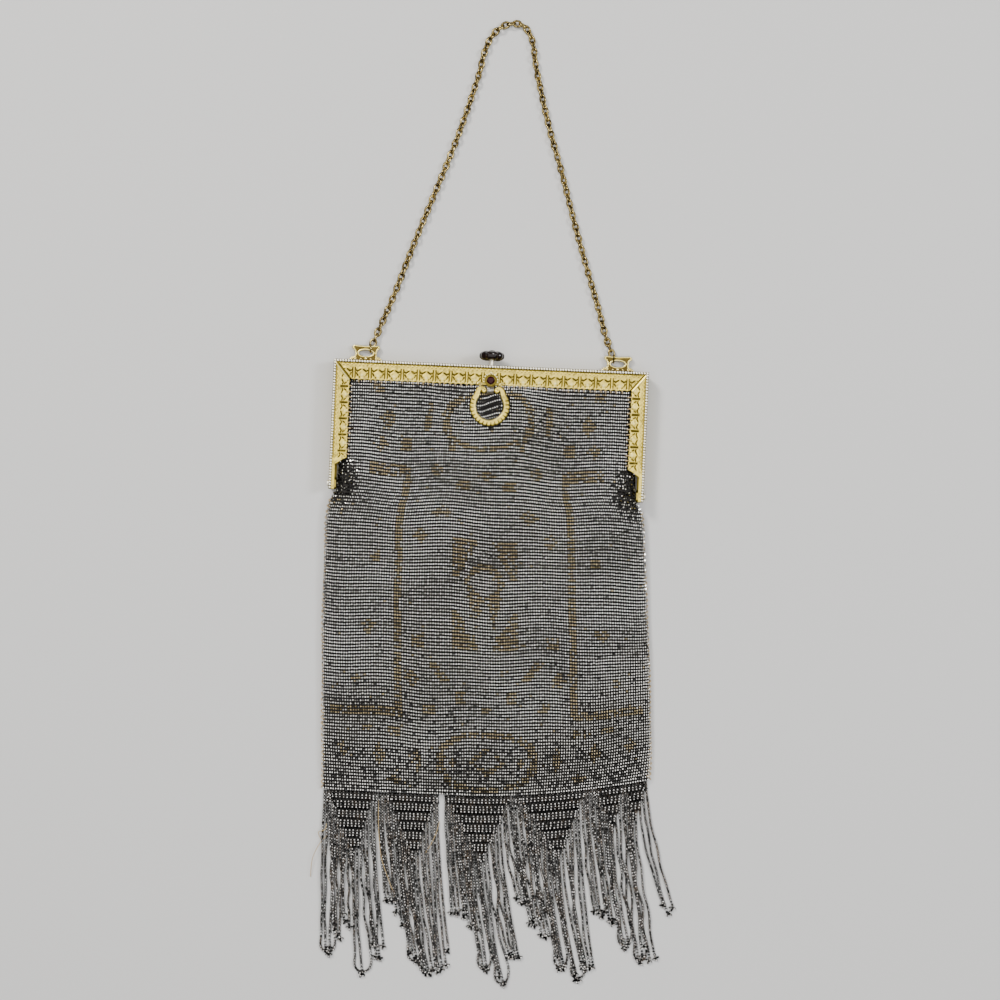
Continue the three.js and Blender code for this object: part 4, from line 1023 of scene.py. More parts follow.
def loop_lines(tips, looped, mine):
    """Loops that join the outer strands of a looped lock: x swings as a cosine from one tip to the other, a
    little wider than the tips lie, and y sags as a sine."""
    turn = np.linspace(0, np.pi, 40)
    lines = []
    for lock in LOOPED_LOCKS:
        ends = np.flatnonzero(looped & (mine == lock))
        if len(ends) < 2:
            continue
        first, second = tips[ends[0]], tips[ends[-1]]
        middle, half = (first + second) / 2, (second - first) / 2
        line = middle - half * (np.cos(turn) * (1 + 0.35 * np.sin(turn)))[:, None]
        line[:, 1] -= 0.085 * FRINGE_LENGTH * np.sin(turn) ** 0.8
        line[:, 2] = 0.66
        lines.append(line)
    return lines


def picots(tips):
    """Four larger beads in a small ring at the end of each strand."""
    turn = np.arange(4) * TAU / 4
    ring = np.stack([np.sin(turn), -1.05 + np.cos(turn), 0 * turn], -1) * 0.84
    way = np.stack([np.cos(turn), -np.sin(turn), 0 * turn], -1)
    tilt = random.normal(0, 0.5, len(tips))
    spin = np.stack([np.cos(tilt), -np.sin(tilt), np.sin(tilt), np.cos(tilt)], -1).reshape(-1, 2, 2)
    ring = np.broadcast_to(ring, (len(tips), 4, 3)).copy()
    way = np.broadcast_to(way, (len(tips), 4, 3)).copy()
    ring[..., :2] = ring[..., :2] @ spin
    way[..., :2] = way[..., :2] @ spin
    return (tips[:, None] + ring).reshape(-1, 3), way.reshape(-1, 3)


def fringe():
    """The beads of the strands and of the nets as a mesh each, and the threads that carry them."""
    start, end, looped, mine = strand_ends()
    lines = strand_lines(start, end)
    places, ways = beads_on(lines, STRAND_PITCH)
    tips = lines[:, -1]
    # Brown tinge per strand, and a little on the loops, nets and picots: a painted reflection of a red-brown
    # surround.
    shade = np.clip(random.normal(0.12, 0.2, len(lines)), 0, 0.6)
    tinge = [np.full(len(spot), shade[k]) for k, spot in enumerate(places)]
    loops, loop_ways = beads_on(loop_lines(tips, looped, mine), STRAND_PITCH)
    nets, net_ways, tie = net_beads()
    bottoms = np.array([spot[len(spot) // 2] for spot in loops])
    knots, knot_ways = picots(np.concatenate([tips[~looped], bottoms]))
    origins = np.concatenate(places + loops + [nets, knots])
    way = unit(np.concatenate(ways + loop_ways + [net_ways, knot_ways]))
    extra = sum(len(spot) for spot in loops) + len(nets) + len(knots)
    tinge = np.concatenate(tinge + [random.random(extra) * 0.25])
    count = len(origins)
    tone = np.clip(random.normal(0.46, 0.3, count), 0, 1)
    net_range = slice(count - len(knots) - len(nets), count - len(knots))
    tone[net_range] = np.where(tie, 0.05, 0.46 + 0.6 * tone[net_range])
    # Painted shadow under the hem: beads within 1.6 mm below it keep a quarter of their tone.
    share = (origins[:, 0] + SECTIONS[-1, 1]) / (SECTIONS[-1, 1] + SECTIONS[-1, 2])
    hem_shadow = origins[:, 1] > hem_point(share)[1] - 1.6
    tone = np.where(hem_shadow, tone * 0.25, tone)
    size = 1 + random.normal(0, 0.04, count)
    length, width = np.full(count, 1.06), np.full(count, 0.6)
    length[-len(knots):] = 1.05
    width[-len(knots):] = 0.78
    length[net_range] = np.where(tie, 1.1, NET_BEAD * 0.94)
    width[net_range] = np.where(tie, 0.5, 0.74)
    sizes = np.stack([length * size, width * size, width * size], -1)
    origins = origins + random.normal(0, 0.04, origins.shape)
    origins[:, 2] = np.maximum(origins[:, 2], sizes[:, 1] + 0.02)
    up = unit(np.cross(np.cross(way, [0.0, 0.0, 1.0]), way))
    axes = turned(way, up, random.normal(0, 0.14, count), random.normal(0, 0.08, count))
    bead = barrel(6, 0.62)
    tone = np.clip(tone, 0, 1)
    netted = np.zeros(count, bool)
    netted[net_range] = True
    for name, chosen, replaced in (("fringe_strands", ~netted, ["fringe"]), ("fringe_nets", netted, [])):
        values = {"tone": worn(bead, tone[chosen]), "tinge": np.repeat(tinge[chosen], len(bead[0]))}
        shape = copies(bead, origins[chosen], axes[chosen], sizes[chosen])
        piece(name, shape, FRINGE, smooth=False, replaces=replaced, values=values)
    threads = [tube(line[::4], circle(4, THREAD_RADIUS)) for line in lines]
    threads += [tube(line[::4], circle(4, THREAD_RADIUS)) for line in loop_lines(tips, looped, mine)]
    threads += net_cords()
    piece("fringe_threads", joined(threads), DARK_THREAD)


# Frame

def arm_breadth(y):
    """An arm's breadth at a height: narrow at its tip, then a short slope to the full breadth."""
    shoulder = ARM_END + TIP_LENGTH
    return np.interp(y, [shoulder, shoulder + TIP_SHOULDER], [TIP_WIDTH, ARM_WIDTH])


def frame_lines():
    """The frame's outer and inner edges, station by station, from the left arm's end over the bar to the
    right arm's end. The stations slant towards the corners, as a mitre does."""
    arm = np.linspace(0, 1, ARM_STATIONS)
    bar = np.linspace(0, 1, BAR_STATIONS)[1:-1]
    outer_y, inner_y = ARM_END + arm * FRAME_DROP, ARM_END + arm * (BAR_INNER - ARM_END)
    left_outer = np.stack([np.full(len(arm), -HALF), outer_y], -1)
    left_inner = np.stack([arm_breadth(inner_y) - HALF, inner_y], -1)
    bar_outer = np.stack([(2 * bar - 1) * HALF, np.full(len(bar), TOP)], -1)
    bar_inner = np.stack([(2 * bar - 1) * (HALF - ARM_WIDTH), np.full(len(bar), BAR_INNER)], -1)
    mirror = np.array([-1, 1])
    outer = np.concatenate([left_outer, bar_outer, left_outer[::-1] * mirror])
    inner = np.concatenate([left_inner, bar_inner, left_inner[::-1] * mirror])
    return outer, inner


def ridge(distance, width):
    """A rounded ridge: 1 on its line, falling to 0 at its width, as cosine squared."""
    return np.cos(np.clip(distance / width, -1, 1) * np.pi / 2) ** 2


def stroke(x, y, route, width):
    """A groove along a broken line: 1 on the line, falling to 0 at the width."""
    nearest = np.full(np.broadcast(x, y).shape, np.inf)
    for start, end in zip(route[:-1], route[1:]):
        run = np.subtract(end, start)
        share = np.clip(((x - start[0]) * run[0] + (y - start[1]) * run[1]) / (run @ run), 0, 1)
        nearest = np.minimum(nearest, np.hypot(x - start[0] - share * run[0], y - start[1] - share * run[1]))
    return ridge(nearest, width)


# Grooves of one half of a panel, in millimetres from its middle line and its foot
PANEL_GROOVES = [
    [(0.6, 4.15), (1.8, 3.3), (2.6, 3.75)],
    [(2.35, 2.5), (1.75, 1.45)],
    [(1.2, 0.95), (0.85, 0.35)],
]
PANEL_HEIGHT = 5.8


def panel_height(u, v, on_bar):
    """A stamped panel, u millimetres from its middle and v up from its foot: a fan of five petals about a
    bud, with grooves beside it, and dark divider lines, paired on the bar and single on the arms."""
    reach = np.hypot(u, v - 1.6)
    angle = np.arctan2(u, v - 1.6)
    petal = 1.75 + 0.5 * np.cos(angle * 4.5) ** 2
    fan_height = np.clip(1 - (reach / petal) ** 2, 0, 1) ** 0.5
    vein = ridge(np.sin(angle * 4.5), 0.35) * (reach > 0.7) * (reach < 2.2)
    bud = ridge(reach, 0.8)
    grooves = np.maximum.reduce([stroke(np.abs(u), v, route, 0.5) for route in PANEL_GROOVES]) * 0.75
    line = np.where(on_bar, ridge(np.abs(u) - 2.95, 0.42) * 0.7, ridge(np.abs(u) - PANEL_PITCH / 2, 0.6))
    line = line * (v < np.where(on_bar, 5.2, 5.0)) * (v > 0.3)
    foot = ridge(v - 0.25, 0.4) * 0.2
    brow = stroke(np.abs(u), v, [(0, 5.1), (1.7, 4.25), (2.4, 4.7)], 0.5)
    raised = 0.42 + 0.36 * fan_height - 0.26 * vein + 0.15 * bud + foot + 0.25 * brow
    return raised - 0.8 * np.maximum(grooves, line)


def stamped_height(x, y):
    """Height of the stamped face over its sheet, from 0 in the hollows to 1: a seat for the pearls, a groove,
    a granulated band, and panels between divider lines, with a mitre ridge and groove at each corner."""
    from_top, from_side = TOP - y, HALF - np.abs(x)
    on_bar = from_top / BAR_WIDTH <= from_side / ARM_WIDTH
    edge = np.minimum(from_top, from_side)
    breadth = np.where(on_bar, BAR_WIDTH, arm_breadth(y))
    along = np.where(on_bar, x, y - BAR_INNER + PANEL_PITCH / 2)
    panel = (np.mod(along / PANEL_PITCH + np.where(on_bar, 0.5, 0), 1) - 0.5) * PANEL_PITCH
    foot = (breadth - edge) * PANEL_HEIGHT / np.maximum(breadth - BAND_END, 0.5)
    panels = panel_height(panel, foot, on_bar)
    grain = 0.5 + 0.5 * np.cos(along * TAU / 1.77 + 0.8 * np.sin(along / 2.3)) * np.cos(edge * TAU / 1.3)
    band = 0.1 + 0.14 * ridge(edge - (GROOVE_END + BAND_END) / 2, 0.6) + 0.5 * grain
    diagonal = (from_top / BAR_WIDTH - from_side / ARM_WIDTH) * 5.4
    height = np.where(edge < BAND_END, band, panels)
    height = np.where(edge < GROOVE_END, np.where(on_bar, 0.0, 0.22), height)
    height = np.where(edge <= PEARL_ROW, 0.08, height)
    mitre = 0.5 + 0.45 * ridge(diagonal - 0.35, 0.5) - 0.65 * ridge(diagonal + 0.5, 0.5)
    height = np.where((np.abs(diagonal) < 0.85) & (edge > PEARL_ROW), mitre, height)
    narrow = breadth < ARM_WIDTH - 0.5
    tip = 0.5 + 0.25 * ridge(edge - breadth / 2 - 0.4, 0.8)
    return np.where(narrow & (edge > PEARL_ROW), tip, height)


def frame_face():
    """The stamped front half: a section that goes up the rim, over the face with its stamped height, round
    the inner edge and back under the sheet, carried from arm end to arm end."""
    outer, inner = frame_lines()
    face = np.concatenate([np.linspace(0, 0.34, 20), np.linspace(0.36, 1, 34)])
    across = inner - outer
    breadth = np.linalg.norm(across, axis=1, keepdims=True)
    flat = outer[:, None] + across[:, None] * face[None, :, None]
    relief = stamped_height(flat[..., 0], flat[..., 1])
    inward = across / breadth
    along = np.where(np.abs(inner[:, 1] - BAR_INNER) < 0.01, inner[:, 0], inner[:, 1] - BAR_INNER)
    point = 1 - 2 * np.abs(np.mod(along / SCALLOP_PITCH, 1) - 0.5)
    scallop = (SCALLOP_DEPTH * point * (breadth[:, 0] > ARM_WIDTH - 0.5))[:, None]
    flat[:, -2] = flat[:, -2] + inward * scallop * 0.5
    flat[:, -1] = flat[:, -1] + inward * scallop
    height = FRONT_TOP - 0.12 + relief * RELIEF

    def line(offset, z):
        spot = outer + inward * offset
        return np.column_stack([spot, np.full(len(spot), z)])[:, None]

    under = FRONT_TOP - SHEET
    top = np.concatenate([flat, height[..., None]], -1)
    lip = np.column_stack([flat[:, -1], np.full(len(outer), under)])[:, None]
    rim = [line(0, FRONT_BASE), line(0, FRONT_TOP - 0.5)]
    wall = [line(RIM_WALL, under), line(RIM_WALL, FRONT_BASE)]
    ring = np.concatenate(rim + [top, lip] + wall, 1)
    values = np.full(ring.shape[:2], 0.55)
    values[:, 2:2 + len(face)] = relief
    values = np.concatenate([values.ravel(), [0.5, 0.5]])
    shape = capped(ring, [ring[0].mean(0), ring[-1].mean(0)])
    values = {"relief": values}
    piece("frame_face", shape, GILT_STAMPED, replaces=["frame_front"], values=values)


def pearl_row():
    """Stamped pearls along the outer edge: half-sunk balls at an even pitch along the arms and the bar."""
    pitch, inset, radius = 1.19, 0.6, 0.52
    reach, drop = HALF - inset, TOP - inset
    down = np.arange(ARM_END + 0.7, drop, pitch)
    over = np.arange(-reach, reach + 0.01, pitch * (2 * reach) / (pitch * round(2 * reach / pitch)))
    left = np.stack([np.full(len(down), -reach), down], -1)
    right = left * [-1, 1]
    bar = np.stack([over, np.full(len(over), drop)], -1)
    flat = np.concatenate([left, bar, right])
    origins = np.column_stack([flat, np.full(len(flat), FRONT_TOP + 0.14)])
    axes = np.tile(np.eye(3), (len(flat), 1, 1))
    pearl = ball(8, 5)
    sizes = np.full((len(flat), 3), radius) * [1, 1, 0.24]
    shape = copies(pearl, origins, axes, sizes)
    piece("frame_pearls", shape, PEARL_GILT)


def front_lugs():
    """The front half's hinge lugs: a thick washer about the pin, and the web up to the sheet."""
    shapes = []
    for side in (-1, 1):
        inner = side * (HALF - LUG_WIDTH - GAP)
        end = inner - side * LUG_WIDTH
        turn = np.linspace(0, TAU, 33)[:-1]
        x0, x1 = min(inner, end), max(inner, end)
        ring = [(LUG_RADIUS, x0), (LUG_RADIUS, x1), (BORE_RADIUS, x1), (BORE_RADIUS, x0)]
        ring = np.array([[(x, r * np.cos(t), r * np.sin(t)) for r, x in ring] for t in turn])
        places = ring.reshape(-1, 3) + [0, HINGE_Y, HINGE_Z]
        shapes.append(outward(places, [grid_faces(len(turn), 4, True, True)]))
        web = block((x0, HINGE_Y - 1.5, HINGE_Z + 1.4), (x1, HINGE_Y + 1.5, FRONT_TOP - SHEET / 2))
        shapes.append(web)
    piece("front_lugs", joined(shapes), GILT_PLAIN, smooth=False)


# Clasp

def outline_plate(outline, low, high, dome=0.0):
    """A flat outline with thickness. Rings shrink towards its middle, and dome lifts them there."""
    outline = np.asarray(outline, float)
    middle = outline.mean(0)
    levels = [(1.0, low), (1.0, high - 0.15), (0.97, high)]
    levels += [(0.9, high + dome * 0.3), (0.6, high + dome * 0.8)]
    count = len(outline)
    rings = [np.column_stack([middle + (outline - middle) * share, np.full(count, z)]) for share, z in levels]
    return capped(np.stack(rings), [(*middle, low), (*middle, high + dome)])


def clasp_outline():
    """The pediment's outline: half of it given as a soft S from its point to its foot, and mirrored."""
    half = MOUNT_WIDTH / 2
    foot = BAR_INNER - 0.4
    right = [
        (0.0, JEWEL_Y + 3.9), (0.7, JEWEL_Y + 3.2), (1.6, JEWEL_Y + 2.5), (2.5, JEWEL_Y + 1.7),
        (3.0, JEWEL_Y + 0.6), (3.5, JEWEL_Y - 0.4), (4.6, JEWEL_Y - 0.9), (5.6, JEWEL_Y - 1.0),
        (half, JEWEL_Y - 1.4), (half, foot + 0.3), (half * 0.92, foot), (KNUCKLE_WIDTH / 2, foot),
        (KNUCKLE_WIDTH / 2, PIN_Y),
    ]
    left = [(-x, y) for x, y in right[:0:-1]]
    return np.array(right + left)


def clasp():
    """The pediment with its bezel, grains round the stone, leaf scrolls beside it, and the pale knuckle."""
    plate = outline_plate(clasp_outline(), FRONT_TOP - 0.2, MOUNT_TOP, 0.0)
    turn = np.linspace(0, TAU, 49)[:-1]
    low, high = MOUNT_TOP - 0.2, MOUNT_TOP + BEZEL_HEIGHT
    section = [(BEZEL_INNER, low), (BEZEL_OUTER, low), (BEZEL_OUTER - 0.05, high), (BEZEL_INNER, high + 0.05)]
    ring = np.array([[(r * np.cos(t), r * np.sin(t) + JEWEL_Y, z) for r, z in section] for t in turn])
    bezel = outward(ring.reshape(-1, 3), [grid_faces(len(turn), 4, True, True)])
    grains = 16
    spot = (np.arange(grains) + 0.5) * TAU / grains
    level = MOUNT_TOP + 0.1
    origins = np.stack([3.0 * np.cos(spot), JEWEL_Y + 3.0 * np.sin(spot), np.full(grains, level)], -1)
    origins = origins[origins[:, 1] > BAR_INNER + 0.2]
    peak = [(0.0, JEWEL_Y + 3.55, level)]
    origins = np.concatenate([origins, peak])
    axes = np.tile(np.eye(3), (len(origins), 1, 1))
    grain = copies(ball(10, 6), origins, axes, np.full((len(origins), 3), 0.5) * [1, 1, 0.6])
    scrolls = []
    for side in (-1, 1):
        angle = np.linspace(0.2, 1.7 * np.pi, 26)
        reach = np.linspace(1.25, 0.35, 26)
        line = np.stack([
            side * (4.75 + reach * np.cos(angle)),
            JEWEL_Y - 1.9 + reach * 0.8 * np.sin(angle),
            np.full(26, MOUNT_TOP + 0.05),
        ], -1)
        scrolls.append(tube(line, circle(8, 0.3)))
    shape = joined([plate, bezel, grain] + scrolls)
    values = [np.full(len(part[0]), tone) for part, tone in ((plate, 0.3), (bezel, 0.16), (grain, 0.98))]
    values += [np.full(len(part[0]), 0.85) for part in scrolls]
    piece("clasp_mount", shape, GILT_STAMPED, values={"relief": np.concatenate(values)})
    half = KNUCKLE_WIDTH / 2
    profile = [(0, -half), (1.35, -half), (1.6, -half + 0.25), (1.45, -0.4), (1.6, 0), (1.45, 0.4),
               (1.6, half - 0.25), (1.35, half), (0, half)]
    turned_x = [(0, 1, 0), (0, 0, 1), (1, 0, 0)]
    knuckle = moved(lathe(profile, 24), turned_x, (0, PIN_Y, PIN_Z))
    dots = np.array([(x, PIN_Y + 0.2, PIN_Z + KNUCKLE_RADIUS - 0.12) for x in (-1.05, 0, 1.05)])
    dots = copies(ball(8, 5), dots, np.tile(np.eye(3), (3, 1, 1)), np.full((3, 3), 0.42))
    knuckle = joined([knuckle, dots])
    piece("clasp_knuckle", knuckle, WORN)


RING_HOOK = [(2.8, -7.35), (2.62, -6.75), (3.05, -6.15), (3.95, -5.95), (4.85, -6.45), (5.4, -7.5)]
RING_MID_RADIUS = 7.35
RING_THICKNESS = 3.1


def ring_pull():
    """The lifting ring: a round wire along a horseshoe whose ends rise to square shoulders and curl in as
    scrolls about the pin. Slanted notches at even steps cut its outer half, as on a rope border."""
    turn = np.radians(np.linspace(53, 307, 300))
    arc = np.stack([RING_MID_RADIUS * np.sin(turn), RING_Y + RING_MID_RADIUS * np.cos(turn)], -1)
    hook = smooth_line(RING_HOOK, 8)
    flat = np.concatenate([hook, arc, hook[::-1] * [-1, 1]])
    for _ in range(8):
        flat[1:-1] = (flat[:-2] + 2 * flat[1:-1] + flat[2:]) / 4
    path = np.column_stack([flat, np.full(len(flat), PIN_Z)])
    run = np.concatenate([[0], np.cumsum(np.linalg.norm(np.diff(path, axis=0), axis=1))])
    share = run / run[-1]
    sides = 20
    section = circle(sides, flat=0.0)
    section[:, 1] = np.clip(section[:, 1] * 1.1, -1, 0.74)
    round_it = np.arange(sides) / sides
    notch = ridge(np.mod(run[:, None] / 1.65 + 0.25 * np.cos(round_it * TAU)[None], 1) - 0.5, 0.19)
    outer = np.clip(0.62 - section[None, :, 0], 0, 1) * (share[:, None] > 0.17) * (share[:, None] < 0.83)
    groove = notch * outer
    taper = np.interp(share, [0, 0.05, 0.16, 0.84, 0.95, 1], [0.62, 0.66, 0.95, 0.95, 0.66, 0.62])
    taper = taper * (1 + 0.05 * ridge(share - 0.5, 0.3))
    wire = RING_THICKNESS / 2 * taper[:, None] * (1 - 0.22 * groove)
    shape = tube(path, section[None] * wire[..., None])
    # Painted light: the wire is paler on its top and inner side and darker on its outer lower side; it is
    # darker too in the notches.
    shade = np.clip(0.29 + 0.4 * section[None, :, 1] + 0.38 * section[None, :, 0], 0, 1)
    values = np.concatenate([(shade * (1 - 0.95 * np.minimum(groove * 2.2, 1))).ravel(), [0.5, 0.5]])
    curls = [(side * 2.85, -7.2, PIN_Z + 0.35) for side in (-1, 1)]
    knot_sizes = np.full((2, 3), 1.15) * [1, 1, 0.55]
    knots = copies(ball(10, 6), np.array(curls), np.tile(np.eye(3), (2, 1, 1)), knot_sizes)
    shape = joined([shape, knots])
    values = {"relief": np.concatenate([values, np.full(len(knots[0]), 0.7)])}
    piece("ring_handle", shape, GILT_STAMPED, "ring", replaces=["ring_pull"], values=values)


def knob():
    """The push knob: a lobed lens about Y. Its radius at angle t and height h is the lens's half breadth
    times 1 - depth * (1 - cos(lobes * t)) / 2, and its faces are fluted towards a small boss."""
    sides = KNOB_LOBES * 12
    fall = np.linspace(0, np.pi, 25)
    round_off = np.sign(np.cos(fall)) * np.abs(np.cos(fall)) ** 0.72
    profile = np.column_stack([np.sin(fall) ** 0.62 * KNOB_RADIUS, round_off * KNOB_THICKNESS / 2])
    profile[0, 0] = profile[-1, 0] = 0
    turn = np.arange(sides) * TAU / sides
    lobe = (1 - np.cos(KNOB_LOBES * turn)) / 2
    squeeze = 1 - 0.09 * lobe[None, :] * (profile[1:-1, :1] / KNOB_RADIUS) ** 2
    places, faces = lathe(profile, sides, squeeze)
    reach = np.hypot(places[:, 0], places[:, 1]) / KNOB_RADIUS
    angle = np.arctan2(places[:, 1], places[:, 0])
    flute = 0.1 * np.cos(KNOB_LOBES * angle) * ridge(reach - 0.62, 0.4)
    places[:, 2] *= 1 + flute
    boss = moved(lathe([(0, -0.4), (1.5, -0.4), (1.7, 0.1), (1.1, 0.55), (0, 0.65)], 24), np.eye(3),
                 (0, 0, KNOB_THICKNESS / 2 - 0.12))
    foot = moved(lathe([(0, 0), (1.2, 0), (2.0, 0.5), (2.1, 1.6), (0, 1.6)], 24), np.eye(3),
                 (0, 0, -KNOB_THICKNESS / 2))
    turned_y = [(1, 0, 0), (0, 0, -1), (0, 1, 0)]
    centre = (0, KNOB_FOOT + KNOB_THICKNESS / 2, STEM_Z)
    shape = moved(joined([(places, faces), boss, foot]), turned_y, centre)
    piece("knob_button", shape, KNOB, "knob", replaces=["push_knob"])


# Ears

def ear_edge():
    """The ear's outline: foot, waist, horn and the shallow dip of its top, mirrored."""
    base = EAR_BASE / 2
    waist, horn = base * 0.64, base * 0.86
    right = [(base, 0.0), (base, EAR_HEIGHT * 0.1)]
    for start, bend, end in (
        ((base, EAR_HEIGHT * 0.1), (waist, EAR_HEIGHT * 0.16), (waist, EAR_HEIGHT * 0.42)),
        ((waist, EAR_HEIGHT * 0.42), (waist, EAR_HEIGHT * 0.78), (horn, EAR_HEIGHT * 0.86)),
        ((horn * 0.9, EAR_HEIGHT), (0, EAR_HEIGHT * 0.95), (0, EAR_HEIGHT * 0.952)),
    ):
        t = np.linspace(0, 1, 12)[:, None]
        start, bend, end = np.array(start), np.array(bend), np.array(end)
        curve = start * (1 - t) ** 2 + bend * 2 * t * (1 - t) + end * t**2
        right += [tuple(point) for point in curve]
    left = [(-x, y) for x, y in right[-2::-1]]
    return np.array(right + left)


def ears():
    """Trim on the two ears: a raised wire just inside the outline, a rim round the eye, scrolls at the foot,
    a boss on each horn and one under the eye."""
    shapes = []
    edge = ear_edge()
    middle = np.array([0, EAR_HOLE_Y])
    border = middle + (edge - middle) * 0.94
    eye = circle(40) * [EAR_HOLE[0] / 2 + 0.28, EAR_HOLE[1] / 2 + 0.28] + [0, EAR_HOLE_Y]
    for side in (-1, 1):
        shift = np.array([side * EAR_OFFSET, TOP, EAR_TOP_Z])

        def laid(flat, lift=0.05):
            return np.column_stack([flat, np.full(len(flat), lift)]) + shift

        shapes.append(tube(laid(border), circle(8, 0.42) * [1, 0.6]))
        shapes.append(tube(laid(eye), circle(8, 0.42) * [1, 0.6], closed=True))
        for way in (-1, 1):
            angle = np.linspace(0, 1.6 * np.pi, 24)
            reach = np.linspace(1.3, 0.4, 24)
            curl = np.stack([way * (5.1 + reach * np.cos(angle)), 1.15 + reach * 0.62 * np.sin(angle)], -1)
            shapes.append(tube(laid(curl), circle(8, 0.32) * [1, 0.7]))
        bosses = laid(np.array([(-5.6, 6.3), (5.6, 6.3), (0, 1.2), (-2.2, 1.1), (2.2, 1.1)]))
        radii = np.array([0.55, 0.55, 0.7, 0.45, 0.45])
        axes = np.tile(np.eye(3), (len(bosses), 1, 1))
        shapes.append(copies(ball(10, 6), bosses, axes, radii[:, None] * np.array([[1, 1, 0.6]])))
    shape = joined(shapes)
    piece("ear_trim", shape, GILT_STAMPED, values={"relief": np.full(len(shape[0]), 0.88)})


# Chain

def end_link_middle(side):
    low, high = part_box("chain_link_left" if side < 0 else "chain_link_right")
    return (np.array(low) + np.array(high)) / 2 / MM


def chain_links():
    """Oval links along the route, each through the next: neighbours are a quarter turn apart about the
    chain, square to the floor by the ears and leaning a little further on, as a chain lies."""
    start, end = end_link_middle(-1), end_link_middle(1)
    line = smooth_line([start[:2]] + CHAIN_ROUTE + [end[:2]])
    run = np.concatenate([[0], np.cumsum(np.linalg.norm(np.diff(line, axis=0), axis=1))])
    length = LINK_PITCH + 2 * LINK_WIRE
    links = int(run[-1] / LINK_PITCH) // 2 * 2 + 2
    at = run[-1] * (np.arange(links + 1)) / links
    centre = np.stack([np.interp(at, run, line[:, k]) for k in range(2)], -1)
    way = np.gradient(centre, axis=0)
    inner = slice(1, -1)
    count = links - 1
    from_end = np.minimum(np.arange(1, links), np.arange(1, links)[::-1])
    lean = np.radians(34) * np.clip((from_end - 1) / 5, 0, 1)
    roll = np.where(np.arange(count) % 2 == 0, 0, np.pi / 2) + lean + random.normal(0, 0.07, count)
    half_long, half_wide = (length - LINK_WIRE) / 2, (LINK_WIDTH - LINK_WIRE) / 2
    height = half_wide * np.abs(np.sin(roll)) + LINK_WIRE / 2 + 0.02
    height = np.maximum(height, np.where(from_end < 3, LINK_Z, 1.55))
    origins = np.column_stack([centre[inner], height])
    forward = unit(np.column_stack([way[inner], np.zeros(count)]))
    aside = np.cross([0.0, 0.0, 1.0], forward)
    across = aside * np.cos(roll)[:, None] + np.array([0, 0, 1.0]) * np.sin(roll)[:, None]
    axes = np.stack([forward, across, np.cross(forward, across)], 1)
    turn = np.arange(18) * TAU / 18
    oval = np.stack([half_long * np.cos(turn), half_wide * np.sin(turn), 0 * turn], -1)
    link = tube(oval, circle(7, LINK_WIRE / 2), closed=True)
    piece("chain_links", copies(link, origins, axes), DARK_BRASS, replaces=["chain"])


# Threads

def frame_stitches():
    """Stitches that sew the cloth to the frame: short arcs from the inner edge down into the beads, along the
    bar and both arms."""
    over = np.arange(-58, 58.1, 2.35)
    down = np.arange(BAR_INNER - 3, ARM_END + TIP_LENGTH + 4, -2.3)
    bar = [((x, BAR_INNER + 0.5), (x + 0.5, BAR_INNER - 1.4)) for x in over]
    arms = [((side * (HALF - ARM_WIDTH + 0.5), y), (side * (HALF - ARM_WIDTH - 1.5), y - 0.4))
            for side in (-1, 1) for y in down]
    shapes = []
    for start, end in bar + arms:
        t = np.linspace(0, 1, 7)[:, None]
        flat = np.array(start) * (1 - t) + np.array(end) * t
        flat = flat + random.normal(0, 0.2, 2)
        height = FRONT_TOP - 0.5 + 0.5 * np.sin(np.pi * t[:, 0]) + 0.1 * random.random()
        shapes.append(tube(np.column_stack([flat, height]), circle(5, 0.24)))
    piece("frame_stitches", joined(shapes), THREAD)


LOOSE_THREADS = [
    [(-64.2, -200.5), (-64.8, -203.5), (-67.6, -205), (-66.6, -208)],
    [(-64, -206.5), (-67.2, -210.5), (-69.8, -217), (-70.4, -225)],
    [(-41.6, -189.5), (-41.2, -200), (-39.5, -214), (-35.5, -225), (-33, -231)],
    [(-14.2, -198), (-16.2, -205), (-20.2, -213)],
]


def loose_threads():
    """Broken threads that lie over the fringe and beside it."""
    shapes = []
    for route in LOOSE_THREADS:
        line = smooth_line(route, 10)
        height = 0.4 + 1.5 * np.sin(np.linspace(0.2, np.pi - 0.1, len(line)))
        shapes.append(tube(np.column_stack([line, height]), circle(5, 0.16)))
    piece("loose_threads", joined(shapes), THREAD)


def side_seams():
    """Whip stitches down both side edges below the frame: a thread that winds round the edge, as a sine out
    and a cosine up, one turn to each stitch."""
    shapes = []
    down = np.linspace(MOUTH_DEPTH + 3, BAG_LENGTH - 0.5, 820)
    for across in (-1.0, 1.0):
        edge = pouch_point(np.full(len(down), across), down, 1)
        turn = down * TAU / 2.6
        reach = 0.75 + 0.25 * np.sin(down / 7.0 + across)
        edge[:, 0] += across * (0.15 + reach * np.cos(turn))
        edge[:, 2] = np.maximum(edge[:, 2] + 0.15 + 0.95 * np.sin(turn), 0.3)
        shapes.append(tube(edge, circle(5, 0.25)))
    piece("side_seams", joined(shapes), THREAD)


# Finishes of the CAD nodes that stay

NODE_FINISHES = {
    "frame_back": GILT_PLAIN,
    "hinge_pin_left": PEARL_GILT,
    "hinge_pin_right": PEARL_GILT,
    "knob_stem": PEARL_GILT,
    "catch_tongue": GILT_PLAIN,
    "ring_pin": DARK_BRASS,
    "garnet": STONE,
    "chain_link_left": DARK_BRASS,
    "chain_link_right": DARK_BRASS,
}


def finish_nodes():
    for name, finish in NODE_FINISHES.items():
        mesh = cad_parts[name].data
        mesh.materials.clear()
        mesh.materials.append(finish.material)


# Stage

VIEW_CENTRE = (6.3, -54.5)
VIEW_SPAN = 440.0
VIEW_ROLL = 2.5
CAMERA_HEIGHT = 700.0
SENSOR = 36.0
OBJECT_LEVEL = 6.0


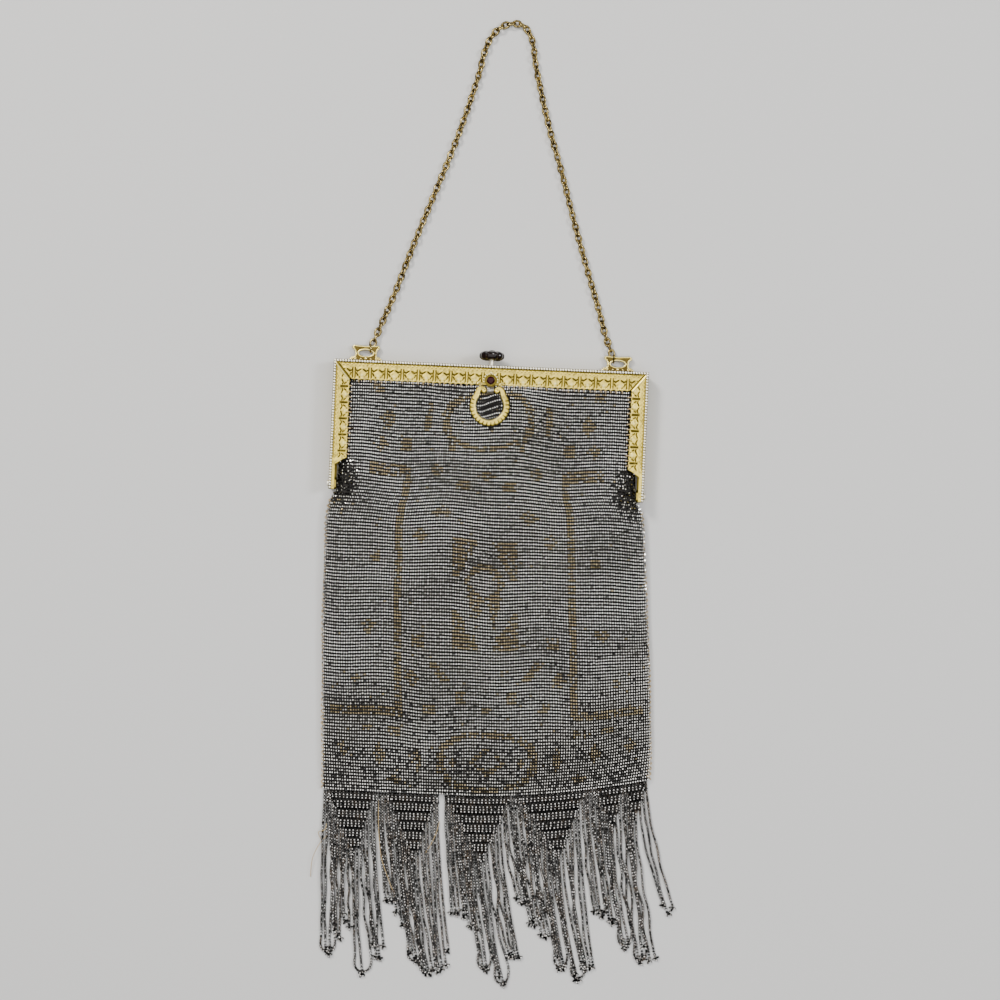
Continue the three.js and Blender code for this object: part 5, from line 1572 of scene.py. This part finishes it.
def camera():
    """Straight above the purse, rolled as the photograph is. The lens gives the span at the pouch."""
    data = bpy.data.cameras.new("camera")
    data.sensor_width = SENSOR
    data.lens = SENSOR * (CAMERA_HEIGHT - OBJECT_LEVEL) / VIEW_SPAN
    made = bpy.data.objects.new("camera", data)
    made.location = (VIEW_CENTRE[0] * MM, VIEW_CENTRE[1] * MM, CAMERA_HEIGHT * MM)
    made.rotation_euler = (0, 0, np.radians(VIEW_ROLL))
    bpy.context.scene.collection.objects.link(made)
    bpy.context.scene.camera = made


def area_light(name, place, aim, size, power, tint=(1, 1, 1)):
    """A square soft light at a place, facing a point."""
    data = bpy.data.lights.new(name, "AREA")
    data.shape = "SQUARE"
    data.size = size
    data.energy = power
    data.color = tint
    made = bpy.data.objects.new(name, data)
    made.location = place
    way = np.array(aim, float) - np.array(place, float)
    from_z = np.arccos(-way[2] / np.linalg.norm(way))
    made.rotation_euler = (from_z, 0, np.arctan2(way[1], way[0]) - np.pi / 2)
    bpy.context.scene.collection.objects.link(made)


def stage():
    """A pale floor, a large soft light overhead, a window at each side behind, and a dim even sky."""
    size = 3000.0
    places = np.array([(-size, -size, 0), (size, -size, 0), (size, size, 0), (-size, size, 0)], float)
    mesh = bpy.data.meshes.new("floor")
    mesh.from_pydata((places * MM).tolist(), [], [(0, 1, 2, 3)])
    mesh.materials.append(floor_finish().material)
    floor = bpy.data.objects.new("floor", mesh)
    bpy.context.scene.collection.objects.link(floor)
    world = bpy.data.worlds.new("studio")
    world.use_nodes = True
    world.node_tree.nodes["Background"].inputs["Color"].default_value = color(0.85, 0.88, 0.92)
    world.node_tree.nodes["Background"].inputs["Strength"].default_value = 0.18
    bpy.context.scene.world = world
    area_light("softbox", (0, -0.15, 1.5), (0, -0.15, 0), 1.85, 21)
    area_light("window", (-0.7, 0.8, 1.1), (0, -0.05, 0), 0.35, 16, (1, 0.98, 0.95))
    area_light("far_window", (0.9, 0.2, 1.0), (0, -0.05, 0), 0.3, 7, (0.95, 0.97, 1))


camera()
pouch_cloth()
front_beads()
back_beads()
fringe()
frame_face()
pearl_row()
front_lugs()
clasp()
ring_pull()
knob()
ears()
chain_links()
frame_stitches()
loose_threads()
side_seams()
finish_nodes()
stage()
